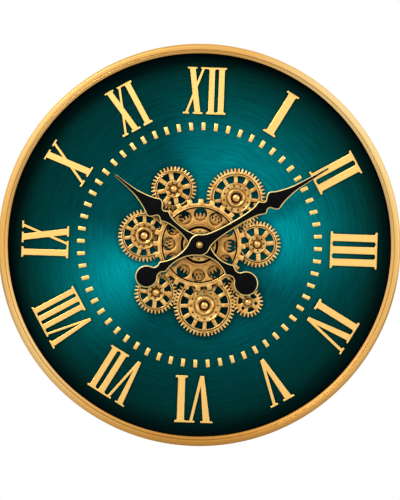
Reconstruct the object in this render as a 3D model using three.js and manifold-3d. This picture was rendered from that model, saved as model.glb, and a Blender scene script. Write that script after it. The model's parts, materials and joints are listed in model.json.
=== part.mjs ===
// Gear wall clock: a spun case with a teal dial, raised Roman numerals and an open train of
// brass wheels that a small motor turns behind the hands.
// Millimetres. The pieces are drawn face on: x to the right, y up, z out from the wall.
import * as THREE from "three";
import { mergeVertices } from "three/addons/utils/BufferGeometryUtils.js";
import Module from "manifold-3d";

const wasm = await Module();
wasm.setup();

// Case, dial and back
const caseRadius = 300;
const caseDepth = 66;
const caseSheet = 1.2;
const caseEdgeBevel = 3;
const bezelFaceWidth = 10.6;
const bezelStepDepth = 5;
const bezelStepSlope = 1.2;
const bezelLedgeWidth = 3.4;
const bezelLedgeDrop = 0.6;
const coverThickness = 1.5;
const dialThickness = 1.5;
const hoopWall = 1.5;
const seatGap = 0.3;
const shellGap = 0.6;
const caseSides = 48;

// Numerals
const numeralMargin = 18;
const numeralHeight = 71;
const numeralThickness = 3;
const stemWidth = 12.4;
const thinStroke = 4.4;
const serifOverhang = 3.6;
const serifThickness = 3.2;
const serifJoin = 2.4;
const numeralFreeWidth = 54;
const numeralSqueeze = 0.45;
const thickLean = 11.6;
const thinLean = 30;
const vThickLean = 8.2;
const vThinLean = 14.4;
const apexWidth = 6.4;

// Movement, motor and the plate that carries them
const movementSide = 56;
const movementCorner = 5;
const movementDepth = 17.2;
const movementStandOff = 1;
const stemBoreFloor = 4.3;
const arborFloor = 8.6;
const trainPlateThickness = 1.5;
const trainPlateMargin = 10;
const trainPlateCorner = 14;
const pillarLength = 10.4;
const pillarRadius = 4.5;
const pillarHeadRadius = 5.6;
const pillarHeadHeight = 2.4;
const pillarPlaces = [[-49.6, 61.3], [83.4, 64.3], [-42, -76.8]];
const motorRadius = 18;
const motorDepth = 15;
const motorShaftRadius = 2.2;
const motorShaftSeat = 7.5;
const motorSides = 24;
const motorBearing = 90;
const knobRadius = 8;
const knobThickness = 1.6;
const knobShaftRadius = 2;
const knobShaftLength = 7;
const knobDrop = 17;
const knobRecess = 0.5;
const knobHoleMargin = 2.5;
const knobRibs = 8;
const knobRibDepth = 0.8;
const knobRibTipShare = 0.18;
const knobRibRootShare = 0.3;

// Battery and hanger
const cellRadius = 7.1;
const cellLength = 50.5;
const cellNubRadius = 2.7;
const cellNubLength = 1;
const cellSpacing = 15.2;
const trayWall = 1.5;
const trayDepth = 15;
const trayEndRoom = 2.2;
const batteryPlace = [-74, 0];
const doorOverlap = 3;
const doorThickness = 1.5;
const doorOpening = [60, 34];
const doorTravel = 30;
const thumbRidge = [24, 2.6, 1.2];
const railWall = 2;
const railLip = 1.5;
const railLipThickness = 1;
const hangerInset = 75;
const hangerSize = [40, 60];
const hangerThickness = 2;
const hangerBorder = 8;
const keyholeRadius = 6;
const keyholeSlotWidth = 6.4;
const keyholeSlotLength = 20;

// Wheel train in front of the dial
const toothModule = 1.75;
const addendum = 2.9;
const dedendum = 2.8;
const meshEase = 2;
const toothRootShare = 0.43;
const wheelLift = 6;
const wheelThickness = 3.2;
const hubDiscHeight = 1.2;
const shoulderRadius = 6;
const bottomWheelDrop = 3;
const idlerThickness = 2.4;
const postRadius = 3;
const boreGap = 0.4;
const discSides = 12;
const roundSides = 8;

// Each wheel meshes with its parent, at a bearing in degrees clockwise from twelve
const wheelTable = {
  centre: { teeth: 52, windows: 6, spoke: 7, rim: 6, hub: 19 },
  upper_right: {
    parent: "centre", bearing: 36, teeth: 48, windows: 11, spoke: 5.2, rim: 5.8, hub: 22.4, collet: 13.9,
  },
  right: { parent: "upper_right", bearing: 153.4, teeth: 37, windows: 8, spoke: 6.2, rim: 4.6, hub: 13.2 },
  left: {
    parent: "centre", bearing: -82.5, teeth: 42, windows: 11, spoke: 5, rim: 4, hub: 20, collet: 13.4,
  },
  bottom: {
    parent: "centre", bearing: 173.4, teeth: 50, windows: 12, spoke: 5.4, rim: 5.2, hub: 24.2, collet: 14.9,
  },
  lower_left: { parent: "bottom", bearing: 283.2, teeth: 34, windows: 8, spoke: 6, rim: 3.5, hub: 12.6 },
  lower_right: {
    parent: "bottom", bearing: 83.7, teeth: 23, windows: 6, spoke: 3.6, rim: 2.2, hub: 7.6, roundHole: 2.6,
  },
  rear_idler: { parent: "bottom", bearing: 58, teeth: 16 },
  top_idler: { parent: "centre", bearing: -44, teeth: 10 },
  upper_left: {
    parent: "top_idler", bearing: -3.2, teeth: 36, windows: 8, spoke: 6.3, rim: 3.7, hub: 12.8,
  },
};
const windowGap = 0.7;
const headCollarHeight = 1;
const headCollarRadius = 6.8;
const headDomeRadius = 5.2;
const headDomeHeight = 4.2;
const cupDomeRadius = 4.4;
const cupDomeHeight = 3;
const lowHeadRadius = 4.4;
const lowHeadHeight = 1.4;
const postTail = 1.2;
const colletCup = 8;
const colletFoot = 1;
const colletHeight = 3.6;

// Centre arbors, ring gear and drive
const arborRadius = 1.6;
const pipeWall = 1;
const stemWall = 1.7;
const sleeveWall = 2.6;
const runningGap = 0.3;
const sleeveGap = 0.6;
const driveModule = 3;
const driveTeeth = 24;
const pinionTeeth = 10;
const driveAddendum = 3;
const driveDedendum = 3.4;
const driveEase = 1.4;
const driveLift = 3.5;
const driveThickness = 3;
const ringLift = 3.2;
const ringThickness = 4;
const ringTipRadius = 69;
const ringToothDepth = 6.2;
const ringTeeth = 24;
const ringBand = 5.4;
const ringSides = 24;
const ringToothTipShare = 0.19;
const ringToothRootShare = 0.24;
const ringWebThickness = 2.6;
const ringHoles = 12;
const ringHoleRadius = 8.8;
const ringHoleInset = 12.4;
const ringGrooveRadius = 28;
const ringGrooveFloor = 1;
const bossRadius = 23.5;
const bossHeight = 4.3;
const bossEdge = 0.8;

// Hands
const handThickness = 1.6;
const hourHandLift = 2;
const handGap = 1.9;
const minuteBearing = 57.3;
const hourBearing = 307.7;
const minuteTip = 224;
const hourTip = 164;
const minuteHub = 16.2;
const hourHub = 15.6;
const minuteTailDisc = 16.6;
const hourTailDisc = 18.2;
const minuteTailReach = 92.2;
const hourTailReach = 90.4;
const handTipWidth = 1.8;
const handNeck = 5.5;
const hubJoin = 45;
const hubBlend = 22;
const handCurveSteps = 3;
const nutRadius = 4.6;
const nutHeight = 4.2;
const nutBore = 2.6;

// Levels out from the wall
const movementBack = coverThickness + movementStandOff;
const movementFront = movementBack + movementDepth;
const plateBack = movementFront + seatGap;
const plateFront = plateBack + trainPlateThickness;
const dialBack = plateFront + pillarLength + 2 * seatGap;
const dialFront = dialBack + dialThickness;
const wheelBack = dialFront + wheelLift;
const wheelFront = wheelBack + wheelThickness;
const bottomWheelBack = wheelBack - bottomWheelDrop;
const hubFront = wheelFront + hubDiscHeight;
const driveBack = plateFront + driveLift;
const driveFront = driveBack + driveThickness;
const ringBack = wheelFront + ringLift;
const ringFront = ringBack + ringThickness;
const bossBack = ringBack + ringGrooveFloor + seatGap;
const bossFront = bossBack + bossHeight;
const hourHandBack = bossFront + hourHandLift;
const hourHandFront = hourHandBack + handThickness;
const minuteHandBack = hourHandFront + handGap;
const minuteHandFront = minuteHandBack + handThickness;

// Radii that fit into each other
const dialRadius = caseRadius - caseSheet - shellGap;
const bezelInnerRadius = caseRadius - bezelFaceWidth - bezelLedgeWidth;
const numeralOuterRadius = bezelInnerRadius - numeralMargin;
const numeralInnerRadius = numeralOuterRadius - numeralHeight;
const hangerHeight = caseRadius - hangerInset;
const pipeBore = arborRadius + runningGap;
const pipeRadius = pipeBore + pipeWall;
const stemBore = pipeRadius + runningGap;
const stemRadius = stemBore + stemWall;
const sleeveBore = stemRadius + sleeveGap;
const sleeveRadius = sleeveBore + sleeveWall;
const sleeveSeat = sleeveRadius + boreGap;
const postBore = postRadius + boreGap;
const driveDistance = (driveModule * (driveTeeth + pinionTeeth)) / 2 + driveEase;

const degrees = (angle) => (angle * Math.PI) / 180;
const along = (bearing, distance) => [
  distance * Math.sin(degrees(bearing)),
  distance * Math.cos(degrees(bearing)),
];

// Solids for joining and cutting
function toSolid(geometry) {
  const bare = geometry.index ? geometry.toNonIndexed() : geometry.clone();
  bare.deleteAttribute("normal");
  bare.deleteAttribute("uv");
  const merged = mergeVertices(bare, 1e-4);
  const mesh = new wasm.Mesh({
    numProp: 3,
    vertProperties: new Float32Array(merged.attributes.position.array),
    triVerts: new Uint32Array(merged.index.array),
  });
  return new wasm.Manifold(mesh);
}

function toGeometry(solid) {
  const mesh = solid.getMesh();
  const geometry = new THREE.BufferGeometry();
  const corners = new Float32Array(mesh.numVert * 3);
  for (let i = 0; i < mesh.numVert; i += 1) {
    for (let k = 0; k < 3; k += 1) {
      corners[3 * i + k] = mesh.vertProperties[mesh.numProp * i + k];
    }
  }
  geometry.setAttribute("position", new THREE.BufferAttribute(corners, 3));
  geometry.setIndex(new THREE.BufferAttribute(new Uint32Array(mesh.triVerts), 1));
  return geometry;
}

const join = (...pieces) => pieces.map(toSolid).reduce((whole, piece) => whole.add(piece));
const cut = (whole, ...tools) => tools.map(toSolid).reduce((rest, tool) => rest.subtract(tool), whole);

// Outlines and the two ways to make them solid
function ring(radius, sides, x = 0, y = 0, start = 0) {
  return Array.from({ length: sides }, (_, i) => {
    const angle = start + (2 * Math.PI * i) / sides;
    return new THREE.Vector2(x + radius * Math.cos(angle), y + radius * Math.sin(angle));
  });
}

function rectangle(width, height, x = 0, y = 0) {
  return [[-1, -1], [1, -1], [1, 1], [-1, 1]].map(
    ([sx, sy]) => new THREE.Vector2(x + (sx * width) / 2, y + (sy * height) / 2),
  );
}

function roundedRectangle(width, height, corner, x = 0, y = 0) {
  const steps = 3;
  const centres = [[1, 1], [-1, 1], [-1, -1], [1, -1]];
  return centres.flatMap(([sx, sy], quarter) =>
    Array.from({ length: steps + 1 }, (_, i) => {
      const angle = (Math.PI / 2) * (quarter + i / steps);
      return new THREE.Vector2(
        x + sx * (width / 2 - corner) + corner * Math.cos(angle),
        y + sy * (height / 2 - corner) + corner * Math.sin(angle),
      );
    }),
  );
}

function extrude(outline, back, front, holes = []) {
  const shape = new THREE.Shape(outline);
  shape.holes = holes.map((hole) => new THREE.Path(hole));
  const depth = front - back;
  return new THREE.ExtrudeGeometry(shape, { depth, bevelEnabled: false }).translate(0, 0, back);
}

function revolve(profile, sides) {
  const points = profile.map(([radius, z]) => new THREE.Vector2(radius, z));
  return new THREE.LatheGeometry(points, sides).rotateX(Math.PI / 2);
}

function loop(profile, sides) {
  return revolve([...profile, profile[0]], sides);
}

const rod = (radius, back, front, sides = roundSides, x = 0, y = 0) =>
  extrude(ring(radius, sides, x, y), back, front);
const tube = (bore, radius, back, front, sides = roundSides) =>
  extrude(ring(radius, sides), back, front, [ring(bore, sides)]);

// Finishes
const finish = (color, metalness, roughness) =>
  new THREE.MeshStandardMaterial({ color, metalness, roughness });
const bezelGold = finish(0xe6ad55, 1, 0.32);
const numeralGold = finish(0xf3c573, 1, 0.4);
const antiqueBrass = finish(0xc98f47, 1, 0.38);
const polishedBrass = finish(0xe2ac5d, 1, 0.2);
const tealLacquer = finish(0x00666d, 0.6, 0.35);
const blackEnamel = finish(0x141414, 0, 0.45);
const blackPlastic = finish(0x1d1d1f, 0, 0.5);
const greySteel = finish(0x8d9094, 1, 0.4);
const paintedCover = finish(0x2b2c2e, 0.2, 0.6);
const cellJacket = finish(0x3c5a45, 0.3, 0.35);

const clock = new THREE.Group();
clock.rotation.x = Math.PI / 2;

function place(name, shape, material, [x, y] = [0, 0], bearing = 0) {
  const geometry = shape instanceof THREE.BufferGeometry ? shape : toGeometry(shape);
  const mesh = new THREE.Mesh(geometry, material);
  mesh.name = name;
  mesh.position.set(x, y, 0);
  mesh.rotation.z = -degrees(bearing);
  clock.add(mesh);
}

// Wheel train: places and tooth phases follow the meshing order
const wheels = {};
for (const [name, wheel] of Object.entries(wheelTable)) {
  const pitchRadius = (toothModule * wheel.teeth) / 2;
  const toothPitch = (2 * Math.PI) / wheel.teeth;
  const parent = wheels[wheel.parent];
  let spot = [0, 0];
  let phase = Math.PI / 2;
  if (parent) {
    const [dx, dy] = along(wheel.bearing, parent.pitchRadius + pitchRadius + meshEase);
    spot = [parent.spot[0] + dx, parent.spot[1] + dy];
    const direction = Math.atan2(dy, dx);
    const parentShare = (direction - parent.phase) / parent.toothPitch;
    phase = direction + Math.PI - (0.5 - parentShare) * toothPitch;
  }
  wheels[name] = { ...wheel, pitchRadius, toothPitch, spot, phase };
}

// One tooth's corners, as radius and share of the tooth pitch, repeated round the wheel
function toothedOutline(teeth, tooth, phase) {
  const pitch = (2 * Math.PI) / teeth;
  return Array.from({ length: teeth }, (_, i) =>
    tooth.map(([radius, share]) => {
      const angle = phase + (i + share) * pitch;
      return new THREE.Vector2(radius * Math.cos(angle), radius * Math.sin(angle));
    }),
  ).flat();
}

const pointedTooth = (tip, root) => [[root, -toothRootShare], [tip, 0], [root, toothRootShare]];
const squareTooth = (tip, root, tipShare, rootShare) => [
  [root, -rootShare],
  [tip, -tipShare],
  [tip, tipShare],
  [root, rootShare],
];

// Windows leave straight spokes of one width between two radii
function spokeWindows(count, inner, outer, spoke, phase) {
  return Array.from({ length: count }, (_, i) => {
    const middle = phase + ((i + 0.5) * 2 * Math.PI) / count;
    const half = (radius) => Math.PI / count - Math.asin(spoke / (2 * radius));
    const corner = (radius, share) => {
      const angle = middle + share * half(radius);
      return new THREE.Vector2(radius * Math.cos(angle), radius * Math.sin(angle));
    };
    return [corner(inner, -1), corner(outer, -1), corner(outer, 1), corner(inner, 1)];
  });
}

function wheelWindows(wheel, inner, outer) {
  const openings = spokeWindows(wheel.windows, inner, outer, wheel.spoke, wheel.phase);
  if (!wheel.roundHole) {
    return openings;
  }
  // Wide windows alternate with round holes
  const middle = (inner + outer) / 2;
  return openings.map((opening, i) => {
    const angle = wheel.phase + ((i + 0.5) * 2 * Math.PI) / wheel.windows;
    const hole = ring(wheel.roundHole, roundSides, middle * Math.cos(angle), middle * Math.sin(angle));
    return i % 2 ? hole : opening;
  });
}

function trainWheel(wheel, back, front) {
  const root = wheel.pitchRadius - dedendum;
  const tooth = pointedTooth(wheel.pitchRadius + addendum, root);
  const outline = toothedOutline(wheel.teeth, tooth, wheel.phase);
  if (!wheel.hub) {
    return extrude(outline, back, front, [ring(postBore, roundSides)]);
  }
  const windows = wheelWindows(wheel, wheel.hub + windowGap, root - wheel.rim);
  const plate = extrude(outline, back, front, windows);
  const disc = rod(wheel.hub, front - windowGap, front + hubDiscHeight, discSides);
  return cut(join(plate, disc), rod(postBore, back - 1, front + hubDiscHeight + 1));
}

function domeProfile(radius, base, height, steps = 2) {
  return Array.from({ length: steps + 1 }, (_, i) => {
    const angle = ((Math.PI / 2) * i) / steps;
    return [i === steps ? 0 : radius * Math.cos(angle), base + height * Math.sin(angle)];
  });
}

// A shouldered post riveted through the dial, with a turned head in front of its wheel
function wheelPost(head, wheelSeat) {
  const tail = dialBack - postTail;
  const shoulderBack = dialFront + seatGap;
  const shoulderFront = wheelSeat - seatGap;
  const shaft = [
    [0, tail],
    [postRadius, tail],
    [postRadius, shoulderBack],
    [shoulderRadius, shoulderBack],
    [shoulderRadius, shoulderFront],
    [postRadius, shoulderFront],
    [postRadius, head.base],
  ];
  if (!head.collar) {
    return revolve([...shaft, ...domeProfile(head.radius, head.base, head.height)], roundSides);
  }
  const foot = head.base + headCollarHeight;
  const collar = [[head.collar, head.base], [head.collar, foot]];
  return revolve([...shaft, ...collar, ...domeProfile(head.radius, foot, head.height)], roundSides);
}

function collet(radius, base) {
  const foot = base + colletFoot;
  const crown = [(colletCup + radius) / 2, base + colletHeight];
  return loop([[colletCup, base], [radius, base], [radius, foot], crown, [colletCup, foot]], discSides);
}

for (const [name, wheel] of Object.entries(wheels)) {
  if (!wheel.parent) {
    continue;
  }
  const rear = name === "rear_idler";
  const back = rear || name === "bottom" ? bottomWheelBack : wheelBack;
  const front = rear ? bottomWheelBack + idlerThickness : wheelFront;
  const headBase = (wheel.hub ? hubFront : front) + seatGap;
  let head = { radius: headDomeRadius, height: headDomeHeight, collar: headCollarRadius };
  if (wheel.collet) {
    head = { radius: cupDomeRadius, height: cupDomeHeight };
  } else if (!wheel.hub) {
    head = { radius: lowHeadRadius, height: lowHeadHeight };
  }
  head.base = headBase;
  place(`${name}_wheel`, trainWheel(wheel, back, front), antiqueBrass, wheel.spot);
  place(`${name}_post`, wheelPost(head, back), polishedBrass, wheel.spot);
  if (wheel.collet) {
    place(`${name}_collet`, collet(wheel.collet, headBase), polishedBrass, wheel.spot);
  }
}

// Centre train on its sleeve
function centreWheel() {
  const wheel = wheels.centre;
  const root = wheel.pitchRadius - dedendum;
  const tooth = pointedTooth(wheel.pitchRadius + addendum, root);
  const outline = toothedOutline(wheel.teeth, tooth, wheel.phase);
  const windows = spokeWindows(wheel.windows, wheel.hub, root - wheel.rim, wheel.spoke, wheel.phase);
  return extrude(outline, wheelBack, wheelFront, [...windows, ring(sleeveSeat, discSides)]);
}

function ringGear() {
  const root = ringTipRadius - ringToothDepth;
  const bandInner = root - ringBand;
  const tooth = squareTooth(ringTipRadius, root, ringToothTipShare, ringToothRootShare);
  const teeth = toothedOutline(ringTeeth, tooth, Math.PI / 2);
  const band = extrude(teeth, ringBack, ringFront, [ring(bandInner, ringSides)]);
  const holes = Array.from({ length: ringHoles }, (_, i) =>
    ring(ringHoleRadius, roundSides, ...along((360 * i) / ringHoles, bandInner - ringHoleInset)),
  );
  const groove = ring(ringGrooveRadius, discSides);
  const webFront = ringBack + ringWebThickness;
  const web = extrude(ring(bandInner + windowGap, ringSides), ringBack, webFront, [groove, ...holes]);
  const floorOutline = ring(ringGrooveRadius + windowGap, discSides);
  const floor = extrude(floorOutline, ringBack, ringBack + ringGrooveFloor, [ring(sleeveSeat, discSides)]);
  return join(band, web, floor);
}

function centreBoss() {
  return loop(
    [
      [sleeveSeat, bossBack],
      [bossRadius, bossBack],
      [bossRadius, bossFront - bossEdge],
      [bossRadius - bossEdge, bossFront],
      [sleeveSeat, bossFront],
    ],
    discSides,
  );
}

const drivePitchRadius = (driveModule * driveTeeth) / 2;
const pinionPitchRadius = (driveModule * pinionTeeth) / 2;
const motorPlace = along(motorBearing, driveDistance);
const motorDirection = Math.atan2(motorPlace[1], motorPlace[0]);
const pinionPhase = motorDirection + Math.PI - Math.PI / pinionTeeth;

function driveWheel() {
  const tooth = pointedTooth(drivePitchRadius + driveAddendum, drivePitchRadius - driveDedendum);
  const outline = toothedOutline(driveTeeth, tooth, motorDirection);
  return extrude(outline, driveBack, driveFront, [ring(sleeveSeat, discSides)]);
}

function motorPinion() {
  const tooth = pointedTooth(pinionPitchRadius + driveAddendum, pinionPitchRadius - driveDedendum);
  const outline = toothedOutline(pinionTeeth, tooth, pinionPhase);
  const shaft = rod(motorShaftRadius, plateBack - motorShaftSeat, driveFront);
  return join(extrude(outline, driveBack, driveFront), shaft);
}

const centreSleeve = tube(sleeveBore, sleeveRadius, plateFront + 2 * seatGap, bossFront - seatGap);
place("centre_sleeve", centreSleeve, antiqueBrass);
place("centre_wheel", centreWheel(), antiqueBrass);
place("ring_gear", ringGear(), antiqueBrass);
place("centre_boss", centreBoss(), antiqueBrass);
place("drive_wheel", driveWheel(), antiqueBrass);
place("motor_pinion", motorPinion(), greySteel, motorPlace);

// Case, dial and numerals
function caseRim() {
  const faceInner = caseRadius - bezelFaceWidth;
  const stepInner = faceInner - bezelStepSlope;
  const stepLevel = caseDepth - bezelStepDepth;
  const ledgeLevel = stepLevel - bezelLedgeDrop;
  const foot = dialFront + seatGap;
  const skin = [
    [caseRadius, 0],
    [caseRadius, caseDepth - caseEdgeBevel],
    [caseRadius - caseEdgeBevel, caseDepth],
    [faceInner, caseDepth],
    [stepInner, stepLevel],
    [bezelInnerRadius, ledgeLevel],
    [bezelInnerRadius, foot],
  ];
  const lining = [
    [bezelInnerRadius + caseSheet, foot],
    [bezelInnerRadius + caseSheet, ledgeLevel - caseSheet],
    [faceInner + caseSheet, caseDepth - caseSheet],
    [caseRadius - caseEdgeBevel - caseSheet, caseDepth - caseSheet],
    [caseRadius - caseSheet, caseDepth - caseEdgeBevel - caseSheet],
    [caseRadius - caseSheet, 0],
  ];
  return loop([...skin, ...lining], caseSides);
}

function dialPlate() {
  const postSpots = Object.values(wheels).filter((wheel) => wheel.parent).map((wheel) => wheel.spot);
  return extrude(ring(dialRadius, caseSides), dialBack, dialFront, [
    ring(sleeveRadius + shellGap, discSides),
    ...[...postSpots, ...pillarPlaces].map(([x, y]) => ring(postBore, roundSides, x, y)),
  ]);
}

// A hoop that holds the dial forward against the bezel
function spacerHoop() {
  const back = coverThickness + seatGap;
  return tube(dialRadius - hoopWall, dialRadius, back, dialBack - seatGap, caseSides);
}

// Numeral strokes, with y from the inner end (0) to the outer end (numeralHeight)
const numeralFoot = dialFront + seatGap;
const stroke = (bottom, bottomWidth, top, topWidth) => [
  new THREE.Vector2(bottom - bottomWidth / 2, 0),
  new THREE.Vector2(bottom + bottomWidth / 2, 0),
  new THREE.Vector2(top + topWidth / 2, numeralHeight),
  new THREE.Vector2(top - topWidth / 2, numeralHeight),
];
const serif = (middle, width, atTop) => {
  const level = atTop ? numeralHeight - serifThickness / 2 : serifThickness / 2;
  return rectangle(width + 2 * serifOverhang, serifThickness, middle, level);
};

// A stem with a slab serif at both ends, as one outline
function stemOutline(stem) {
  const side = [
    [stem / 2 + serifOverhang, 0],
    [stem / 2 + serifOverhang, serifThickness],
    [stem / 2, serifThickness],
    [stem / 2, numeralHeight - serifThickness],
    [stem / 2 + serifOverhang, numeralHeight - serifThickness],
    [stem / 2 + serifOverhang, numeralHeight],
  ];
  const right = side.map(([x, y]) => new THREE.Vector2(x, y));
  const left = side.map(([x, y]) => new THREE.Vector2(-x, y)).reverse();
  return [...right, ...left];
}

const letters = {
  I: (stem) => ({
    outlines: [stemOutline(stem)],
    left: stem / 2 + serifOverhang,
    right: stem / 2 + serifOverhang,
  }),
  V: (stem) => ({
    outlines: [
      stroke(0, apexWidth, -vThickLean, stem),
      stroke((apexWidth - thinStroke) / 2, thinStroke, vThinLean, thinStroke),
      serif(-vThickLean, stem, true),
      serif(vThinLean, thinStroke, true),
    ],
    left: vThickLean + stem / 2 + serifOverhang,
    right: vThinLean + thinStroke / 2 + serifOverhang,
  }),
  X: (stem) => ({
    outlines: [
      stroke(thickLean / 2, stem, -thickLean / 2, stem),
      stroke(-thinLean / 2, thinStroke, thinLean / 2, thinStroke),
      serif(-thickLean / 2, stem, true),
      serif(thickLean / 2, stem, false),
      serif(thinLean / 2, thinStroke, true),
      serif(-thinLean / 2, thinStroke, false),
    ],
    left: thinLean / 2 + thinStroke / 2 + serifOverhang,
    right: thinLean / 2 + thinStroke / 2 + serifOverhang,
  }),
};
const numerals = ["I", "II", "III", "IV", "V", "VI", "VII", "VIII", "IX", "X", "XI", "XII"];

function numeral(text) {
  const drawn = [...text].map((letter) => letters[letter](stemWidth));
  const lettersWidth = drawn.reduce((sum, letter) => sum + letter.left + letter.right, 0);
  const width = lettersWidth - serifJoin * (text.length - 1);
  const spare = Math.max(0, width - numeralFreeWidth);
  const squeeze = (width - spare + spare * numeralSqueeze) / width;
  let edge = -width / 2;
  const strokes = drawn.flatMap((letter) => {
    const middle = edge + letter.left;
    edge = middle + letter.right - serifJoin;
    return letter.outlines.map((outline) =>
      extrude(outline, numeralFoot, numeralFoot + numeralThickness)
        .translate(middle, numeralInnerRadius, 0)
        .scale(squeeze, 1, 1),
    );
  });
  return join(...strokes);
}

place("case_rim", caseRim(), bezelGold);
place("dial_plate", dialPlate(), tealLacquer);
place("spacer_hoop", spacerHoop(), paintedCover);
numerals.forEach((text, i) => {
  const hour = String(i + 1).padStart(2, "0");
  place(`numeral_${hour}`, numeral(text), numeralGold, [0, 0], 30 * (i + 1));
});

// Back cover, sliding battery door and hanger
const doorPlate = [doorOpening[0] + 2 * doorOverlap, doorOpening[1] + 2 * doorOverlap];
const doorBack = coverThickness + seatGap;
const doorFront = doorBack + doorThickness;
const knobPlace = [0, -knobDrop];

function backCover() {
  const [bx, by] = batteryPlace;
  const window = hangerSize.map((side) => side - 2 * hangerBorder);
  const sheet = extrude(ring(dialRadius, caseSides), 0, coverThickness, [
    ring(knobRadius + knobHoleMargin, discSides, ...knobPlace),
    rectangle(...doorOpening, bx, by),
    rectangle(...window, 0, hangerHeight),
  ]);
  const overlap = coverThickness / 2;
  const lipBack = doorFront + seatGap;
  const railFront = lipBack + railLipThickness;
  const railInner = doorPlate[0] / 2 + seatGap;
  const railTop = doorPlate[1] / 2 + doorTravel + seatGap;
  const railBottom = -doorPlate[1] / 2 - seatGap;
  const rails = [-1, 1].flatMap((side) => {
    const bar = (inner, outer, back) => {
      const middle = [bx + (side * (inner + outer)) / 2, by + (railTop + railBottom) / 2];
      return extrude(rectangle(outer - inner, railTop - railBottom, ...middle), back, railFront);
    };
    return [
      bar(railInner, railInner + railWall, overlap),
      bar(railInner - railLip, railInner + railWall, lipBack),
    ];
  });
  const stop = rectangle(2 * (railInner + railWall), railWall, bx, by + railBottom - railWall / 2);
  return join(sheet, ...rails, extrude(stop, overlap, doorFront));
}

function batteryDoor() {
  const [bx, by] = batteryPlace;
  const [ridgeWidth, ridgeHeight, ridgeDepth] = thumbRidge;
  const ridge = rectangle(ridgeWidth, ridgeHeight, bx, by - doorOpening[1] / 2 + ridgeHeight / 2 + seatGap);
  return join(
    extrude(rectangle(...doorPlate, bx, by), doorBack, doorFront),
    extrude(ridge, doorBack - ridgeDepth, doorBack + doorThickness / 2),
  );
}

const trayBack = plateBack - seatGap - trayDepth;
const trayFront = plateBack - seatGap;
const trayInner = [cellLength + 2 * trayEndRoom, cellSpacing + 2 * cellRadius + 2 * seatGap];
const cellLevel = trayFront - trayWall - seatGap - cellRadius;

function batteryTray() {
  const [bx, by] = batteryPlace;
  const outer = trayInner.map((side) => side + 2 * trayWall);
  const block = join(extrude(rectangle(...outer, bx, by), trayBack, trayFront));
  return cut(block, extrude(rectangle(...trayInner, bx, by), trayBack - 1, trayFront - trayWall));
}

function batteryCell(side) {
  const [bx, by] = batteryPlace;
  const body = cellLength - cellNubLength;
  const can = [[0, 0], [cellRadius, 0], [cellRadius, body]];
  const nub = [[cellNubRadius, body], [cellNubRadius, cellLength], [0, cellLength]];
  const cell = revolve([...can, ...nub], roundSides).translate(0, 0, -cellLength / 2);
  return cell.rotateY((side * Math.PI) / 2).translate(bx, by + (side * cellSpacing) / 2, cellLevel);
}

function hangerPlate() {
  const half = keyholeSlotWidth / 2;
  const drop = keyholeSlotLength / 2;
  const lead = Math.asin(half / keyholeRadius);
  const keyhole = new THREE.Path();
  keyhole.absarc(0, -drop, keyholeRadius, Math.PI / 2 + lead, Math.PI / 2 - lead + 2 * Math.PI);
  keyhole.lineTo(half, drop);
  keyhole.absarc(0, drop, half, 0, Math.PI);
  keyhole.closePath();
  const outline = roundedRectangle(...hangerSize, hangerBorder / 2);
  return extrude(outline, doorBack, doorBack + hangerThickness, [keyhole.getPoints(6)]);
}

place("back_cover", backCover(), paintedCover);
place("battery_door", batteryDoor(), blackPlastic);
place("battery_tray", batteryTray(), blackPlastic);
place("battery_cell_upper", batteryCell(1), cellJacket);
place("battery_cell_lower", batteryCell(-1), cellJacket);
place("hanger_plate", hangerPlate(), greySteel, [0, hangerHeight]);

// Movement, motor and train plate
function movementCase() {
  const outline = roundedRectangle(movementSide, movementSide, movementCorner);
  const block = extrude(outline, movementBack, movementFront);
  const stem = rod(stemRadius, movementFront - 1, bossFront - 2 * seatGap);
  const bore = rod(stemBore, movementBack + stemBoreFloor, bossFront + 1);
  const socket = ring(knobShaftRadius + boreGap, roundSides, ...knobPlace);
  return cut(join(block, stem), bore, extrude(socket, movementBack - 1, movementBack + knobShaftLength));
}

function settingKnob() {
  const rib = squareTooth(knobRadius, knobRadius - knobRibDepth, knobRibTipShare, knobRibRootShare);
  const grip = extrude(toothedOutline(knobRibs, rib, 0), knobRecess, knobRecess + knobThickness);
  const shaft = rod(knobShaftRadius, knobRecess, movementBack + knobShaftLength - seatGap);
  return join(grip, shaft);
}

function motorCase() {
  const front = plateBack - seatGap;
  const can = rod(motorRadius, front - motorDepth, front, motorSides);
  const socket = rod(motorShaftRadius + boreGap, front - motorShaftSeat, plateBack);
  return cut(join(can), socket);
}

function trainPlate() {
  const [bx] = batteryPlace;
  const left = bx - trayInner[0] / 2 - trayWall;
  const right = Math.max(motorPlace[0] + motorRadius, pillarPlaces[1][0]) + trainPlateMargin;
  const top = pillarPlaces[1][1] + trainPlateMargin;
  const bottom = pillarPlaces[2][1] - trainPlateMargin;
  const outline = roundedRectangle(
    right - left, top - bottom, trainPlateCorner, (left + right) / 2, (top + bottom) / 2,
  );
  return extrude(outline, plateBack, plateFront, [
    ring(stemRadius + boreGap, discSides),
    ring(motorShaftRadius + boreGap, roundSides, ...motorPlace),
    ...pillarPlaces.map(([x, y]) => ring(postBore, roundSides, x, y)),
  ]);
}

function pillar() {
  const tail = plateBack - postTail;
  const headBase = dialFront + seatGap;
  return revolve(
    [
      [0, tail],
      [postRadius, tail],
      [postRadius, plateFront + seatGap],
      [pillarRadius, plateFront + seatGap],
      [pillarRadius, dialBack - seatGap],
      [postRadius, dialBack - seatGap],
      [postRadius, headBase],
      ...domeProfile(pillarHeadRadius, headBase, pillarHeadHeight),
    ],
    roundSides,
  );
}

place("movement_case", movementCase(), blackPlastic);
place("setting_knob", settingKnob(), blackPlastic, knobPlace);
place("motor_case", motorCase(), greySteel, motorPlace);
place("train_plate", trainPlate(), greySteel);
["upper_left", "upper_right", "lower_left"].forEach((corner, i) => {
  place(`${corner}_pillar`, pillar(), antiqueBrass, pillarPlaces[i]);
});

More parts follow.
